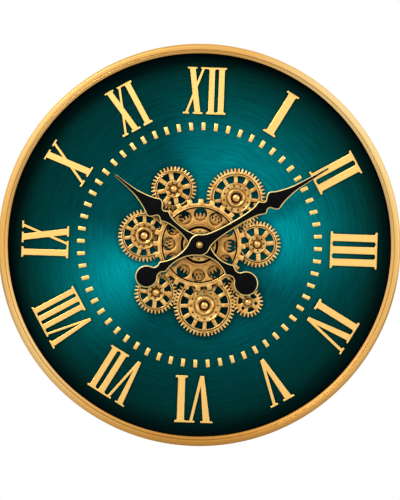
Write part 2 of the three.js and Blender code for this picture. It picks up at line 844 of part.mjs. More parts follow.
// Hands and their arbors, drawn pointing to twelve. One side is a chain of curves from the tip to the
// tail disc, each with a control point and an end: half width, then distance below the tip in the
// blade or above the tail disc in the tail.
const minuteBlade = [
  [2.2, 32, 4.4, 60],
  [6.2, 76, 14, 93],
  [10.4, 98, 6.8, 106.4],
  [8.4, 111, 10.5, 115.3],
  [5, 124, 4.8, 154],
];
const minuteTail = [
  [3.4, 52, 3.3, 35.6],
  [3.6, 21.6, 9.2, 11.6],
  [5.5, 7.6, 5.5, 2.6],
];
const hourBlade = [
  [2, 22, 4.2, 40],
  [6.6, 56, 15.2, 74],
  [11, 80, 6.3, 88],
  [7.6, 91, 9.7, 94.8],
  [4.4, 102, 3.7, 115],
];
const hourTail = [
  [3.6, 50, 3.3, 35.2],
  [4, 22.2, 10, 13.2],
  [5.5, 8.2, 5.5, 3.2],
];

function handOutline({ tip, hub, tailDisc, tailReach, blade, tail }) {
  const half = new THREE.Path();
  half.moveTo(handTipWidth / 2, tip);
  blade.forEach(([cx, cy, x, y]) => half.quadraticCurveTo(cx, tip - cy, x, tip - y));
  const hubPoint = hub * Math.SQRT1_2;
  half.quadraticCurveTo(half.currentPoint.x, hubBlend, hubPoint, hubPoint);
  half.absarc(0, 0, hub, degrees(hubJoin), -degrees(hubJoin), true);
  const foot = tailDisc - tailReach;
  tail.forEach(([cx, cy, x, y]) => half.quadraticCurveTo(cx, foot + cy, x, foot + y));
  const neckAngle = Math.acos(handNeck / tailDisc);
  half.absarc(0, -tailReach, tailDisc, neckAngle, -Math.PI / 2, true);
  const right = half.getPoints(handCurveSteps).filter((point) => point.x > 1e-6);
  const left = right.map((point) => new THREE.Vector2(-point.x, point.y)).reverse();
  return [...right, new THREE.Vector2(0, -tailReach - tailDisc), ...left];
}

function hand(outline, back, bore) {
  return extrude(outline, back, back + handThickness, [ring(bore, roundSides)]);
}

function handNut() {
  const base = minuteHandFront + seatGap;
  const bore = arborRadius + boreGap;
  return revolve(
    [
      [0, base + nutBore],
      [bore, base + nutBore],
      [bore, base],
      ...domeProfile(nutRadius, base, nutHeight),
    ],
    roundSides,
  );
}

const minuteOutline = handOutline({
  tip: minuteTip, hub: minuteHub, tailDisc: minuteTailDisc, tailReach: minuteTailReach,
  blade: minuteBlade, tail: minuteTail,
});
const hourOutline = handOutline({
  tip: hourTip, hub: hourHub, tailDisc: hourTailDisc, tailReach: hourTailReach,
  blade: hourBlade, tail: hourTail,
});
const minuteHand = hand(minuteOutline, minuteHandBack, arborRadius + boreGap);
const hourHand = hand(hourOutline, hourHandBack, pipeRadius + boreGap);
const pipeBack = movementBack + arborFloor;
place("hour_pipe", tube(pipeBore, pipeRadius, pipeBack, hourHandFront), polishedBrass);
place("minute_arbor", rod(arborRadius, pipeBack, minuteHandFront + nutBore), greySteel);
place("hour_hand", hourHand, blackEnamel, [0, 0], hourBearing);
place("minute_hand", minuteHand, blackEnamel, [0, 0], minuteBearing);
place("hand_nut", handNut(), polishedBrass);

export default clock;
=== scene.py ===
# Gear wall clock: the finishes of every surface, and finer wheels, hands, numerals and turned parts
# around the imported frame. Pieces are drawn face on in millimetres: x right, y up, out from the wall.
import json
import math
from collections import namedtuple

import bmesh
import bpy
from mathutils import Matrix, Vector

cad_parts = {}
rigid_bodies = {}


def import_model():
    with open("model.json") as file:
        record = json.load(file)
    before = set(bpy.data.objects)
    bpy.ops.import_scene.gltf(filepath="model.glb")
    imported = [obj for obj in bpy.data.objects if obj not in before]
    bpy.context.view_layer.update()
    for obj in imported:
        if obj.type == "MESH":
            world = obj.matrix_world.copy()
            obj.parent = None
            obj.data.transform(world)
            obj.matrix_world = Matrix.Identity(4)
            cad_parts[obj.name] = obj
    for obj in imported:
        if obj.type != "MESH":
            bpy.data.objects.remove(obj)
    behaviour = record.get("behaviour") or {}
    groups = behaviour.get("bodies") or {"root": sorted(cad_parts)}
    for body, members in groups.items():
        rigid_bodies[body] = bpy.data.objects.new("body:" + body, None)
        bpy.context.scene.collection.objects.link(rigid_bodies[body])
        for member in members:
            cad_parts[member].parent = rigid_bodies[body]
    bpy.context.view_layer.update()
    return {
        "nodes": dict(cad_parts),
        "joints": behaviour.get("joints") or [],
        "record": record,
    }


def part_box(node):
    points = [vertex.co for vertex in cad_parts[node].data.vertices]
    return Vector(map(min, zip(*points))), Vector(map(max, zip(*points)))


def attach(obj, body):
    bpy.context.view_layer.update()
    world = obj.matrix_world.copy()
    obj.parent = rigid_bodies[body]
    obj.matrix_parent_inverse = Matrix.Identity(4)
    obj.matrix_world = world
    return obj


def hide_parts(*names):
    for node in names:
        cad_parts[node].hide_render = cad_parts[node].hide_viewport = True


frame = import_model()
scene = bpy.context.scene
scene.view_settings.view_transform = "Standard"

MM = 0.001
FULL_TURN = 2 * math.pi
# Room between a turned shoulder and the plate or wheel beside it
SEAT_GAP = 0.3
# Face-on drawing (x, y, out) to the row frame (x, -out, y)
UPRIGHT = Matrix.Rotation(math.pi / 2, 4, "X")

hinge_place = {joint["child"]: Vector(joint["pos_m"]) for joint in frame["joints"] if "pos_m" in joint}
body_of_node = {
    node: body for body, nodes in frame["record"]["behaviour"]["bodies"].items() for node in nodes
}
slot_of_node = {part["node"]: part["material_slot"] for part in frame["record"]["subparts"]}


def levels(node):
    """Back and front of a node, out from the wall."""
    low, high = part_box(node)
    return -high.y / MM, -low.y / MM


def middle(node):
    """Centre of a node as seen face on."""
    low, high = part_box(node)
    return (low.x + high.x) / 2 / MM, (low.z + high.z) / 2 / MM


def half_width(node):
    low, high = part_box(node)
    return (high.x - low.x) / 2 / MM


def in_row(x, y, out):
    """A face-on place as a point of the row frame, in metres."""
    return x * MM, -out * MM, y * MM


# Nodes, for materials and for geometry
def connect(tree, value, socket):
    """Give a socket a plain value, or link it to a socket, a node's first open output, or a list of them."""
    if isinstance(value, list):
        for part in value:
            connect(tree, part, socket)
        return
    if isinstance(value, bpy.types.Node):
        value = next(output for output in value.outputs if output.enabled)
    if isinstance(value, bpy.types.NodeSocket):
        tree.links.new(value, socket)
    else:
        socket.default_value = value


def add(tree, kind, inputs=None, stops=None, items=None, **settings):
    node = tree.nodes.new(kind)
    for name, value in settings.items():
        setattr(node, name, value)
    while items and len(node.index_switch_items) < items:
        node.index_switch_items.new()
    if stops:
        elements = node.color_ramp.elements
        while len(elements) < len(stops):
            elements.new(0.5)
        for element, (position, colour) in zip(elements, stops):
            element.position = position
            element.color = colour
    for socket, value in (inputs or {}).items():
        connect(tree, value, node.inputs[socket])
    return node


def linear(hex_code):
    channels = [int(hex_code[i:i + 2], 16) / 255 for i in (1, 3, 5)]
    shades = [c / 12.92 if c <= 0.04045 else ((c + 0.055) / 1.055) ** 2.4 for c in channels]
    return (*shades, 1.0)


def grey(value):
    return (value, value, value, 1.0)


def finish(name, **sockets):
    """A new material, with its tree, its shader and the place of a spot on the piece."""
    material = bpy.data.materials.new(name)
    material.use_nodes = True
    tree = material.node_tree
    tree.nodes.clear()
    settings = {key.replace("_", " "): value for key, value in sockets.items()}
    shader = add(tree, "ShaderNodeBsdfPrincipled", settings)
    add(tree, "ShaderNodeOutputMaterial", {"Surface": shader})
    place = add(tree, "ShaderNodeTexCoord").outputs["Object"]
    return material, tree, shader, place


def coat(tree, shader, colour, polish=None, relief=None):
    """Give a shader its colour, a roughness that follows a pattern, and a fine relief."""
    connect(tree, colour, shader.inputs["Base Color"])
    if polish:
        pattern, low, high = polish
        rough = add(tree, "ShaderNodeMapRange", {"Value": pattern, "To Min": low, "To Max": high})
        connect(tree, rough, shader.inputs["Roughness"])
    if relief:
        pattern, strength, depth = relief
        skin = add(tree, "ShaderNodeBump", {"Height": pattern, "Strength": strength, "Distance": depth})
        connect(tree, skin, shader.inputs["Normal"])


def sheltered(tree, *reaches):
    """How far a spot is closed in by what stands around it, 0 in the open: where tarnish stays, and where
    shade is painted in.
    """
    open_share = 1.0
    for reach, low, high in reaches:
        around = add(tree, "ShaderNodeAmbientOcclusion", {"Distance": reach}, samples=8)
        share = add(tree, "ShaderNodeMapRange",
                    {"Value": around.outputs["AO"], "From Min": low, "From Max": high})
        open_share = add(tree, "ShaderNodeMath", {0: open_share, 1: share}, operation="MULTIPLY")
    return add(tree, "ShaderNodeMath", {0: 1.0, 1: open_share}, operation="SUBTRACT")


def round_the_axis(tree, place):
    """A spot's flat place, depth and radius, and its bearing from twelve as a share of a turn."""
    parts = add(tree, "ShaderNodeSeparateXYZ", {"Vector": place})
    x, depth, y = parts.outputs
    flat = add(tree, "ShaderNodeCombineXYZ", {"X": x, "Y": y})
    radius = add(tree, "ShaderNodeVectorMath", {0: flat}, operation="LENGTH")
    bearing = add(tree, "ShaderNodeMath", {0: x, 1: y}, operation="ARCTAN2")
    turns = add(tree, "ShaderNodeMath", {0: bearing, 1: 1 / FULL_TURN, 2: 1.0}, operation="MULTIPLY_ADD")
    share = add(tree, "ShaderNodeMath", {0: turns}, operation="FRACT")
    return flat, depth, radius, share


def cast_brass(name, bright, rubbed, worn, patina_and_shade, roughness):
    """Cast brass, tumbled and darkened, then rubbed back: warm and mottled, brown with patina in its joints,
    with painted highlights along its edges and painted shade where other parts close it in.
    """
    mottle_size = 7 * MM
    grain_size = 1.1 * MM
    joint_depth = 2.6 * MM
    shade_reach = 15 * MM
    material, tree, shader, place = finish(name, Metallic=1.0)
    mottle = add(tree, "ShaderNodeTexNoise", {"Vector": place, "Scale": 1 / mottle_size, "Detail": 4.0})
    metal = add(tree, "ShaderNodeValToRGB", {"Fac": mottle},
                stops=[(0.32, linear(worn)), (0.68, linear(rubbed))])
    # Every edge is painted bright: partly metal rubbed back, partly a painted highlight
    eased = add(tree, "ShaderNodeBevel", {"Radius": 0.35 * MM}, samples=6)
    face = add(tree, "ShaderNodeNewGeometry")
    flat = add(tree, "ShaderNodeVectorMath", {0: eased, 1: face.outputs["Normal"]}, operation="DOT_PRODUCT")
    edge = add(tree, "ShaderNodeMapRange", {
        "Value": flat, "From Min": 0.85, "From Max": 0.995, "To Min": 0.8, "To Max": 0.0,
    })
    worn_and_highlit = add(tree, "ShaderNodeMix", {0: edge, 6: metal, 7: linear(bright)}, data_type="RGBA")
    # Tarnish stays in joints a few millimetres deep; behind and between the wheels the darkening is painted
    # shade
    cover = sheltered(tree, (joint_depth, 0.5, 0.96), (shade_reach, 0.5, 0.96))
    tarnished_and_shaded = add(tree, "ShaderNodeMix", {0: cover, 6: worn_and_highlit, 7: linear(patina_and_shade)}, data_type="RGBA")
    grain = add(tree, "ShaderNodeTexNoise", {"Vector": place, "Scale": 1 / grain_size, "Detail": 2.0})
    coat(tree, shader, tarnished_and_shaded, (mottle, roughness + 0.08, roughness - 0.06), (grain, 0.18, 0.1 * MM))
    return material


def turned_brass():
    """Turned and polished brass: mirror-like, with faint lathe rings a third of a millimetre apart."""
    ring_pitch = 0.34 * MM
    tint_size = 4 * MM
    material, tree, shader, place = finish("polished_turned_brass", Metallic=1.0)
    parts = add(tree, "ShaderNodeSeparateXYZ", {"Vector": place})
    rings = add(tree, "ShaderNodeMath", {0: parts.outputs["Y"], 1: FULL_TURN / ring_pitch},
                operation="MULTIPLY")
    wave = add(tree, "ShaderNodeMath", {0: rings}, operation="SINE")
    tint = add(tree, "ShaderNodeTexNoise", {"Vector": place, "Scale": 1 / tint_size, "Detail": 2.0})
    metal = add(tree, "ShaderNodeValToRGB", {"Fac": tint},
                stops=[(0.35, linear("#d99e50")), (0.65, linear("#f2c379"))])
    # Tarnish and painted shade darken what the wells round the domes and collets close in
    cover = sheltered(tree, (5 * MM, 0.42, 0.95))
    tarnished_and_shaded = add(tree, "ShaderNodeMix", {0: cover, 6: metal, 7: linear("#3a2008")}, data_type="RGBA")
    coat(tree, shader, tarnished_and_shaded, (tint, 0.12, 0.24), (wave, 0.05, 0.05 * MM))
    return material


def spun_gold():
    """Spun aluminium sheet, satin gold anodised: fine rings round the case, and a soft wide shine painted
    into the colour.
    """
    # Real spinning lines are too fine to show, so these are drawn coarser
    ring_pitch = 1.6 * MM
    material, tree, shader, place = finish("spun_gold_anodised_aluminium", Metallic=1.0)
    _, depth, radius, bearing = round_the_axis(tree, place)
    # Rings are read across the sheet, so depth counts as well as radius
    across = add(tree, "ShaderNodeMath", {0: radius, 1: depth}, operation="SUBTRACT")
    rings = add(tree, "ShaderNodeTexNoise", {"W": across, "Scale": 1 / ring_pitch, "Detail": 5.0},
                noise_dimensions="1D")
    # Two broad sheens and a darker bottom are painted into the colour by bearing: painted highlight and shade
    painted_sheen = add(tree, "ShaderNodeValToRGB", {"Fac": bearing}, stops=[
        (0.0, grey(0.4)), (0.13, grey(1.0)), (0.3, grey(0.55)), (0.5, grey(0.0)), (0.66, grey(0.8)),
        (0.75, grey(0.5)), (0.84, grey(0.65)), (1.0, grey(0.4)),
    ])
    painted_sheen.color_ramp.interpolation = "EASE"
    tone = add(tree, "ShaderNodeValToRGB", {"Fac": painted_sheen}, stops=[
        (0.0, linear("#c88e40")), (0.5, linear("#e7b263")), (1.0, linear("#f7d490")),
    ])
    fine = add(tree, "ShaderNodeMapRange", {
        "Value": rings, "From Min": 0.3, "From Max": 0.7, "To Min": 0.9, "To Max": 1.06,
    })
    metal = add(tree, "ShaderNodeMix", {0: 1.0, 6: tone, 7: fine}, data_type="RGBA", blend_type="MULTIPLY")
    # Painted shade darkens the groove brown
    cover = sheltered(tree, (2.5 * MM, 0.45, 0.92))
    groove_shaded = add(tree, "ShaderNodeMix", {0: cover, 6: metal, 7: linear("#9c6e34")}, data_type="RGBA")
    coat(tree, shader, groove_shaded, (rings, 0.36, 0.24), (rings, 0.04, 0.2 * MM))
    return material


def satin_gold():
    """Stamped aluminium plate, pale gold anodised: even and satin, with a faint straight grain."""
    grain_width = 0.6 * MM
    grain_length = 14 * MM
    material, tree, shader, place = finish("pale_gold_anodised_plate", Metallic=1.0)
    stretched = add(tree, "ShaderNodeMapping",
                    {"Vector": place, "Scale": (1 / grain_length, 1 / grain_width, 1 / grain_width)})
    grain = add(tree, "ShaderNodeTexNoise", {"Vector": stretched, "Scale": 1.0, "Detail": 3.0})
    metal = add(tree, "ShaderNodeValToRGB", {"Fac": grain},
                stops=[(0.25, linear("#f2bf68")), (0.75, linear("#fccf7d"))])
    coat(tree, shader, metal, (grain, 0.48, 0.36))
    return material


def smoked_teal():
    """Teal lacquer over circular-brushed sheet, sprayed to black at the rim: soft rays of highlight are
    painted into the colour where the brushing would gather the light, and fine rings run through it."""
    # Real brushing is too fine to show, so its lines are drawn coarser
    ring_pitch = 2.6 * MM
    arc_count = 5.0
    dial_radius = half_width("dial_plate") * MM
    material, tree, shader, place = finish(
        "teal_lacquer_on_brushed_sheet", Metallic=0.35, Roughness=0.42, Specular_IOR_Level=0.0)
    flat, _, radius, bearing = round_the_axis(tree, place)
    share = add(tree, "ShaderNodeMath", {0: radius, 1: 1 / dial_radius}, operation="MULTIPLY")
    base = add(tree, "ShaderNodeValToRGB", {"Fac": share}, stops=[
        (0.0, linear("#014a4d")), (0.5, linear("#014447")), (0.66, linear("#01393a")),
        (0.84, linear("#013230")), (0.92, linear("#031d1a")), (0.965, linear("#020a08")),
    ])
    bright = add(tree, "ShaderNodeValToRGB", {"Fac": share}, stops=[
        (0.0, linear("#029aa2")), (0.42, linear("#01939b")), (0.64, linear("#016a6e")),
        (0.78, linear("#014a49")), (0.9, linear("#032b27")), (0.965, linear("#020a08")),
    ])
    # Rays of highlight, darker between them, are painted into the colour by bearing
    rays = add(tree, "ShaderNodeValToRGB", {"Fac": bearing}, stops=[
        (0.0, grey(0.4)), (0.07, grey(0.62)), (0.13, grey(0.66)), (0.23, grey(1.0)), (0.34, grey(0.1)),
        (0.58, grey(0.02)), (0.69, grey(1.0)), (0.8, grey(0.04)), (0.93, grey(0.0)), (1.0, grey(0.4)),
    ])
    rays.color_ramp.interpolation = "EASE"
    lit = add(tree, "ShaderNodeMix", {0: rays, 6: base, 7: bright}, data_type="RGBA")
    # Brushing: arcs a few centimetres long, read by radius and direction so that no seam shows
    facing = add(tree, "ShaderNodeVectorMath", {0: flat}, operation="NORMALIZE")
    swept = add(tree, "ShaderNodeVectorMath", {0: facing, 1: (arc_count, arc_count, 0.0)},
                operation="MULTIPLY")
    ring = add(tree, "ShaderNodeMath", {0: radius, 1: 1 / ring_pitch}, operation="MULTIPLY")
    lift = add(tree, "ShaderNodeCombineXYZ", {"Z": ring})
    path = add(tree, "ShaderNodeVectorMath", {0: swept, 1: lift}, operation="ADD")
    arcs = add(tree, "ShaderNodeTexNoise", {"Vector": path, "Scale": 1.0, "Detail": 5.0, "Roughness": 0.6})
    shade = add(tree, "ShaderNodeMapRange", {
        "Value": arcs, "From Min": 0.25, "From Max": 0.75, "To Min": 0.68, "To Max": 1.3,
    })
    brushed = add(tree, "ShaderNodeMix", {0: 1.0, 6: lit, 7: shade}, data_type="RGBA", blend_type="MULTIPLY")
    # Shade is painted in, darkest close to what stands on the dial
    cover = sheltered(tree, (17 * MM, 0.1, 0.92))
    shade_painted = add(tree, "ShaderNodeMix", {0: cover, 6: brushed, 7: linear("#011f21")}, data_type="RGBA")
    coat(tree, shader, shade_painted, relief=(arcs, 0.1, 0.1 * MM))
    return material


def enamel():
    """Black stoved enamel: deep and satin, with a very fine orange peel."""
    peel_size = 1.4 * MM
    material, tree, shader, place = finish("black_stoved_enamel", Specular_IOR_Level=0.03)
    peel = add(tree, "ShaderNodeTexNoise", {"Vector": place, "Scale": 1 / peel_size, "Detail": 2.0})
    tone = add(tree, "ShaderNodeValToRGB", {"Fac": peel},
               stops=[(0.3, linear("#060606")), (0.7, linear("#0c0c0c"))])
    coat(tree, shader, tone, (peel, 0.38, 0.48), (peel, 0.08, 0.05 * MM))
    return material


def moulded(name, low_tone, high_tone, grit, roughness, metallic=0.0):
    """Moulded, painted or plated skin: one tone with a fine even grit."""
    material, tree, shader, place = finish(name, Metallic=metallic)
    speck = add(tree, "ShaderNodeTexNoise", {"Vector": place, "Scale": 1 / grit, "Detail": 3.0})
    tone = add(tree, "ShaderNodeValToRGB", {"Fac": speck},
               stops=[(0.3, linear(low_tone)), (0.7, linear(high_tone))])
    coat(tree, shader, tone, (speck, roughness - 0.06, roughness + 0.06), (speck, 0.2, 0.1 * MM))
    return material


finishes = {
    "bezel_gold": spun_gold(),
    "numeral_gold": satin_gold(),
    "antique_brass": cast_brass("antique_cast_brass", "#fff0b4", "#ffd583", "#cd8a3a", "#1f0e00", 0.3),
    "polished_brass": turned_brass(),
    "teal_lacquer": smoked_teal(),
    "black_enamel": enamel(),
    "black_plastic": moulded("black_abs", "#151516", "#1f1f21", 0.7 * MM, 0.5),
    "grey_steel": moulded("zinc_plated_steel", "#8a8d90", "#a9acae", 5 * MM, 0.36, metallic=1.0),
    "cover_board": moulded("charcoal_painted_fibreboard", "#3a3a3c", "#49494c", 1.3 * MM, 0.55),
    "cell_jacket": moulded("green_shrink_sleeve", "#2f4a38", "#3c5a45", 2 * MM, 0.35),
}
# Oxidised bronze for the rivets, also laid as painted shade in the dishes round the post heads
rivet_and_shade_bronze = cast_brass("oxidised_bronze_rivets_and_shade", "#6a4a2a", "#5c3f22", "#442c14", "#120902", 0.42)
# A darker copy of the cast brass, as painted shade for the wheels and web that sit back behind others, with a
# lighter dark in its hollows
shade_toned_brass = cast_brass("shade_toned_cast_brass", "#f3d08e", "#d6a55e", "#b4813f", "#7d5423", 0.36)
# Near-black bronze, laid as thin rings of painted shade where grooves and recesses are
painted_shade_bronze = cast_brass("painted_shade_bronze", "#3a2612", "#2c1c0d", "#1c1208", "#080502", 0.5)
edge_gold = cast_brass("pale_gold_edge", "#efdb9c", "#e3cb88", "#d2b872", "#8a6a2c", 0.4)

for name, obj in frame["nodes"].items():
    obj.data.materials.clear()
    obj.data.materials.append(finishes[slot_of_node[name]])


# Meshes
def as_object(name, data):
    obj = bpy.data.objects.new(name, data)
    scene.collection.objects.link(obj)
    return obj


def smooth(mesh, sharp_from=35):
    mesh.shade_smooth()
    mesh.set_sharp_from_angle(angle=math.radians(sharp_from))
    return mesh


def dress(name, mesh, body, slot, *nodes, metal=None):
    """A finished piece rides on a body, takes a slot with its finish or a metal, and stands for nodes."""
    if not mesh.materials:
        mesh.materials.append(metal or finishes[slot])
    piece = as_object(name, mesh)
    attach(piece, body)
    if nodes:
        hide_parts(*nodes)


def ring_points(radius, sides, x=0.0, y=0.0):
    angles = [FULL_TURN * i / sides for i in range(sides)]
    return [(x + radius * math.cos(a), y + radius * math.sin(a)) for a in angles]


def lathe(profiles, x=0.0, y=0.0, sides=96):
    """Closed rings turned from profiles of (radius, out), each round the axis at x, y."""
    shape = bmesh.new()
    for profile in profiles:
        rows = []
        for radius, out in profile:
            if radius == 0:
                rows.append([shape.verts.new(in_row(x, y, out))] * sides)
            else:
                circle = ring_points(radius, sides, x, y)
                rows.append([shape.verts.new(in_row(*spot, out)) for spot in circle])
        for i, row in enumerate(rows):
            after = rows[(i + 1) % len(rows)]
            for k in range(sides):
                corners = [row[k], row[(k + 1) % sides], after[(k + 1) % sides], after[k]]
                unique = list(dict.fromkeys(corners))
                if len(unique) > 2:
                    shape.faces.new(unique)
    bmesh.ops.recalc_face_normals(shape, faces=shape.faces)
    mesh = bpy.data.meshes.new("turned")
    shape.to_mesh(mesh)
    shape.free()
    return smooth(mesh)


def soften(profile, radius, steps=3):
    """A closed profile with each corner rounded by up to a radius."""
    rounded = []
    for i, corner in enumerate(profile):
        here = Vector(corner)
        spots = []
        for end in (Vector(profile[i - 1]), Vector(profile[(i + 1) % len(profile)])):
            length = (end - here).length
            spots.append(here.lerp(end, min(radius, 0.45 * length) / length))
        for step in range(steps + 1):
            t = step / steps
            rounded.append(tuple(spots[0].lerp(here, t).lerp(here.lerp(spots[1], t), t)))
    return rounded


def ring_profile(inner, outer, low, high, soft):
    """The square section of a ring, with rounded corners."""
    return soften([(inner, low), (outer, low), (outer, high), (inner, high)], soft)


def dome(radius, base, height, steps=10):
    """A profile from the foot of a dome to its crown on the axis."""
    angles = [math.pi / 2 * i / steps for i in range(steps)]
    side = [(radius * math.cos(a), base + height * math.sin(a)) for a in angles]
    return [*side, (0, base + height)]


def merged(meshes):
    """Several meshes as one, for a single finish."""
    shape = bmesh.new()
    for mesh in meshes:
        shape.from_mesh(mesh)
    for face in shape.faces:
        face.material_index = 0
    mesh = bpy.data.meshes.new("merged")
    shape.to_mesh(mesh)
    shape.free()
    return mesh


def settled(obj):
    """The object's modifiers, or its curve, made into a plain mesh."""
    graph = bpy.context.evaluated_depsgraph_get()
    mesh = bpy.data.meshes.new_from_object(obj.evaluated_get(graph))
    bpy.data.objects.remove(obj)
    return mesh


def flat_plate(outlines, back, front, edge=0.0, turn=0.0):
    """A flat plate cut to outlines, the first its edge and the others its openings, with eased edges."""
    curve = bpy.data.curves.new("plate", "CURVE")
    curve.dimensions = "2D"
    curve.fill_mode = "BOTH"
    curve.extrude = ((front - back) / 2 - edge) * MM
    curve.bevel_depth = edge * MM
    curve.bevel_resolution = 1
    curve.offset = -edge * MM
    for outline in outlines:
        line = curve.splines.new("POLY")
        line.points.add(len(outline) - 1)
        line.use_cyclic_u = True
        for point, (x, y) in zip(line.points, outline):
            point.co = (x * MM, y * MM, 0.0, 1.0)
    mesh = settled(as_object("plate", curve))
    lift = Matrix.Translation((0, 0, (back + front) / 2 * MM))
    mesh.transform(UPRIGHT @ lift @ Matrix.Rotation(turn, 4, "Z"))
    shape = bmesh.new()
    shape.from_mesh(mesh)
    bmesh.ops.remove_doubles(shape, verts=shape.verts, dist=0.002 * MM)
    bmesh.ops.recalc_face_normals(shape, faces=shape.faces)
    shape.to_mesh(mesh)
    shape.free()
    return smooth(mesh)


# Geometry trees
def grown(tree, values, edge=0.0):
    """A mesh grown from a geometry tree, its inputs set by identifier, with softened edges."""
    host = as_object("host", bpy.data.meshes.new("host"))
    modifier = host.modifiers.new("grow", "NODES")
    modifier.node_group = tree
    for item in tree.interface.items_tree:
        if item.in_out == "INPUT":
            value = values[item.name]
            is_length = getattr(item, "subtype", "") == "DISTANCE"
            modifier[item.identifier] = value * MM if is_length else value
    if edge:
        bevel = host.modifiers.new("edge", "BEVEL")
        bevel.width = edge * MM
        bevel.segments = 2
        bevel.limit_method = "ANGLE"
        bevel.angle_limit = math.radians(40)
        bevel.use_clamp_overlap = False
    return settled(host)


def inputs_of(tree, counts, lengths, numbers=()):
    """A tree's named inputs, with its place and its material. Lengths are marked as distances."""
    kinds = {"Int": counts, "Float": [*lengths, *numbers], "Vector": ["Place"], "Material": ["Material"]}
    for kind, names in kinds.items():
        for name in names:
            socket = tree.interface.new_socket(name, in_out="INPUT", socket_type="NodeSocket" + kind)
            if name in lengths:
                socket.subtype = "DISTANCE"
    tree.interface.new_socket("Piece", in_out="OUTPUT", socket_type="NodeSocketGeometry")
    return tree.nodes.new("NodeGroupInput").outputs


def points_on_circle(tree, count, radius, turn):
    """Points spaced evenly round a circle from a first bearing, and the bearing of each."""
    number = add(tree, "GeometryNodeInputIndex")
    step = add(tree, "ShaderNodeMath", {0: FULL_TURN, 1: count}, operation="DIVIDE")
    angle = add(tree, "ShaderNodeMath", {0: number, 1: step, 2: turn}, operation="MULTIPLY_ADD")
    arm = add(tree, "ShaderNodeCombineXYZ", {"X": radius})
    spot = add(tree, "ShaderNodeVectorRotate", {"Vector": arm, "Angle": angle}, rotation_type="Z_AXIS")
    return add(tree, "GeometryNodePoints", {"Count": count, "Position": spot}), angle


def finish_tree(tree, geometry, given):
    """Stand a face-on piece upright at its place, and close the tree."""
    upright = add(tree, "GeometryNodeTransform", {
        "Geometry": geometry, "Translation": given["Place"], "Rotation": (math.pi / 2, 0, 0),
    })
    real = add(tree, "GeometryNodeRealizeInstances", {"Geometry": upright})
    painted = add(tree, "GeometryNodeSetMaterial", {"Geometry": real, "Material": given["Material"]})
    add(tree, "NodeGroupOutput", {"Piece": painted})
    return tree


def toothed_outline(tree, given):
    """The outer edge of a toothed plate: four corners to a tooth, by their number round the outline."""
    corners = add(tree, "ShaderNodeMath", {0: given["Teeth"], 1: 4.0}, operation="MULTIPLY")
    blank = add(tree, "GeometryNodeCurvePrimitiveCircle", {"Resolution": corners})
    number = add(tree, "GeometryNodeInputIndex")
    corner = add(tree, "FunctionNodeIntegerMath", {0: number, 1: 4}, operation="MODULO")
    tooth = add(tree, "FunctionNodeIntegerMath", {0: number, 1: 4}, operation="DIVIDE_FLOOR")
    tip, root = given["Tip Radius"], given["Root Radius"]
    radius = add(tree, "GeometryNodeIndexSwitch", {0: corner, 1: root, 2: tip, 3: tip, 4: root},
                 items=4, data_type="FLOAT")
    tip_share, root_share = given["Tip Share"], given["Root Share"]
    left_tip = add(tree, "ShaderNodeMath", {0: tip_share, 1: -1.0}, operation="MULTIPLY")
    left_root = add(tree, "ShaderNodeMath", {0: root_share, 1: -1.0}, operation="MULTIPLY")
    share = add(tree, "GeometryNodeIndexSwitch",
                {0: corner, 1: left_root, 2: left_tip, 3: tip_share, 4: root_share},
                items=4, data_type="FLOAT")
    step = add(tree, "ShaderNodeMath", {0: FULL_TURN, 1: given["Teeth"]}, operation="DIVIDE")
    count = add(tree, "ShaderNodeMath", {0: tooth, 1: share}, operation="ADD")
    angle = add(tree, "ShaderNodeMath", {0: count, 1: step, 2: given["Phase"]}, operation="MULTIPLY_ADD")
    arm = add(tree, "ShaderNodeCombineXYZ", {"X": radius})
    spot = add(tree, "ShaderNodeVectorRotate", {"Vector": arm, "Angle": angle}, rotation_type="Z_AXIS")
    outline = add(tree, "GeometryNodeSetPosition", {"Geometry": blank, "Position": spot})
    return add(tree, "GeometryNodeFilletCurve", {
        "Curve": outline, "Radius": given["Tooth Round"], "Limit Radius": True, "Count": 2,
    }, mode="POLY")


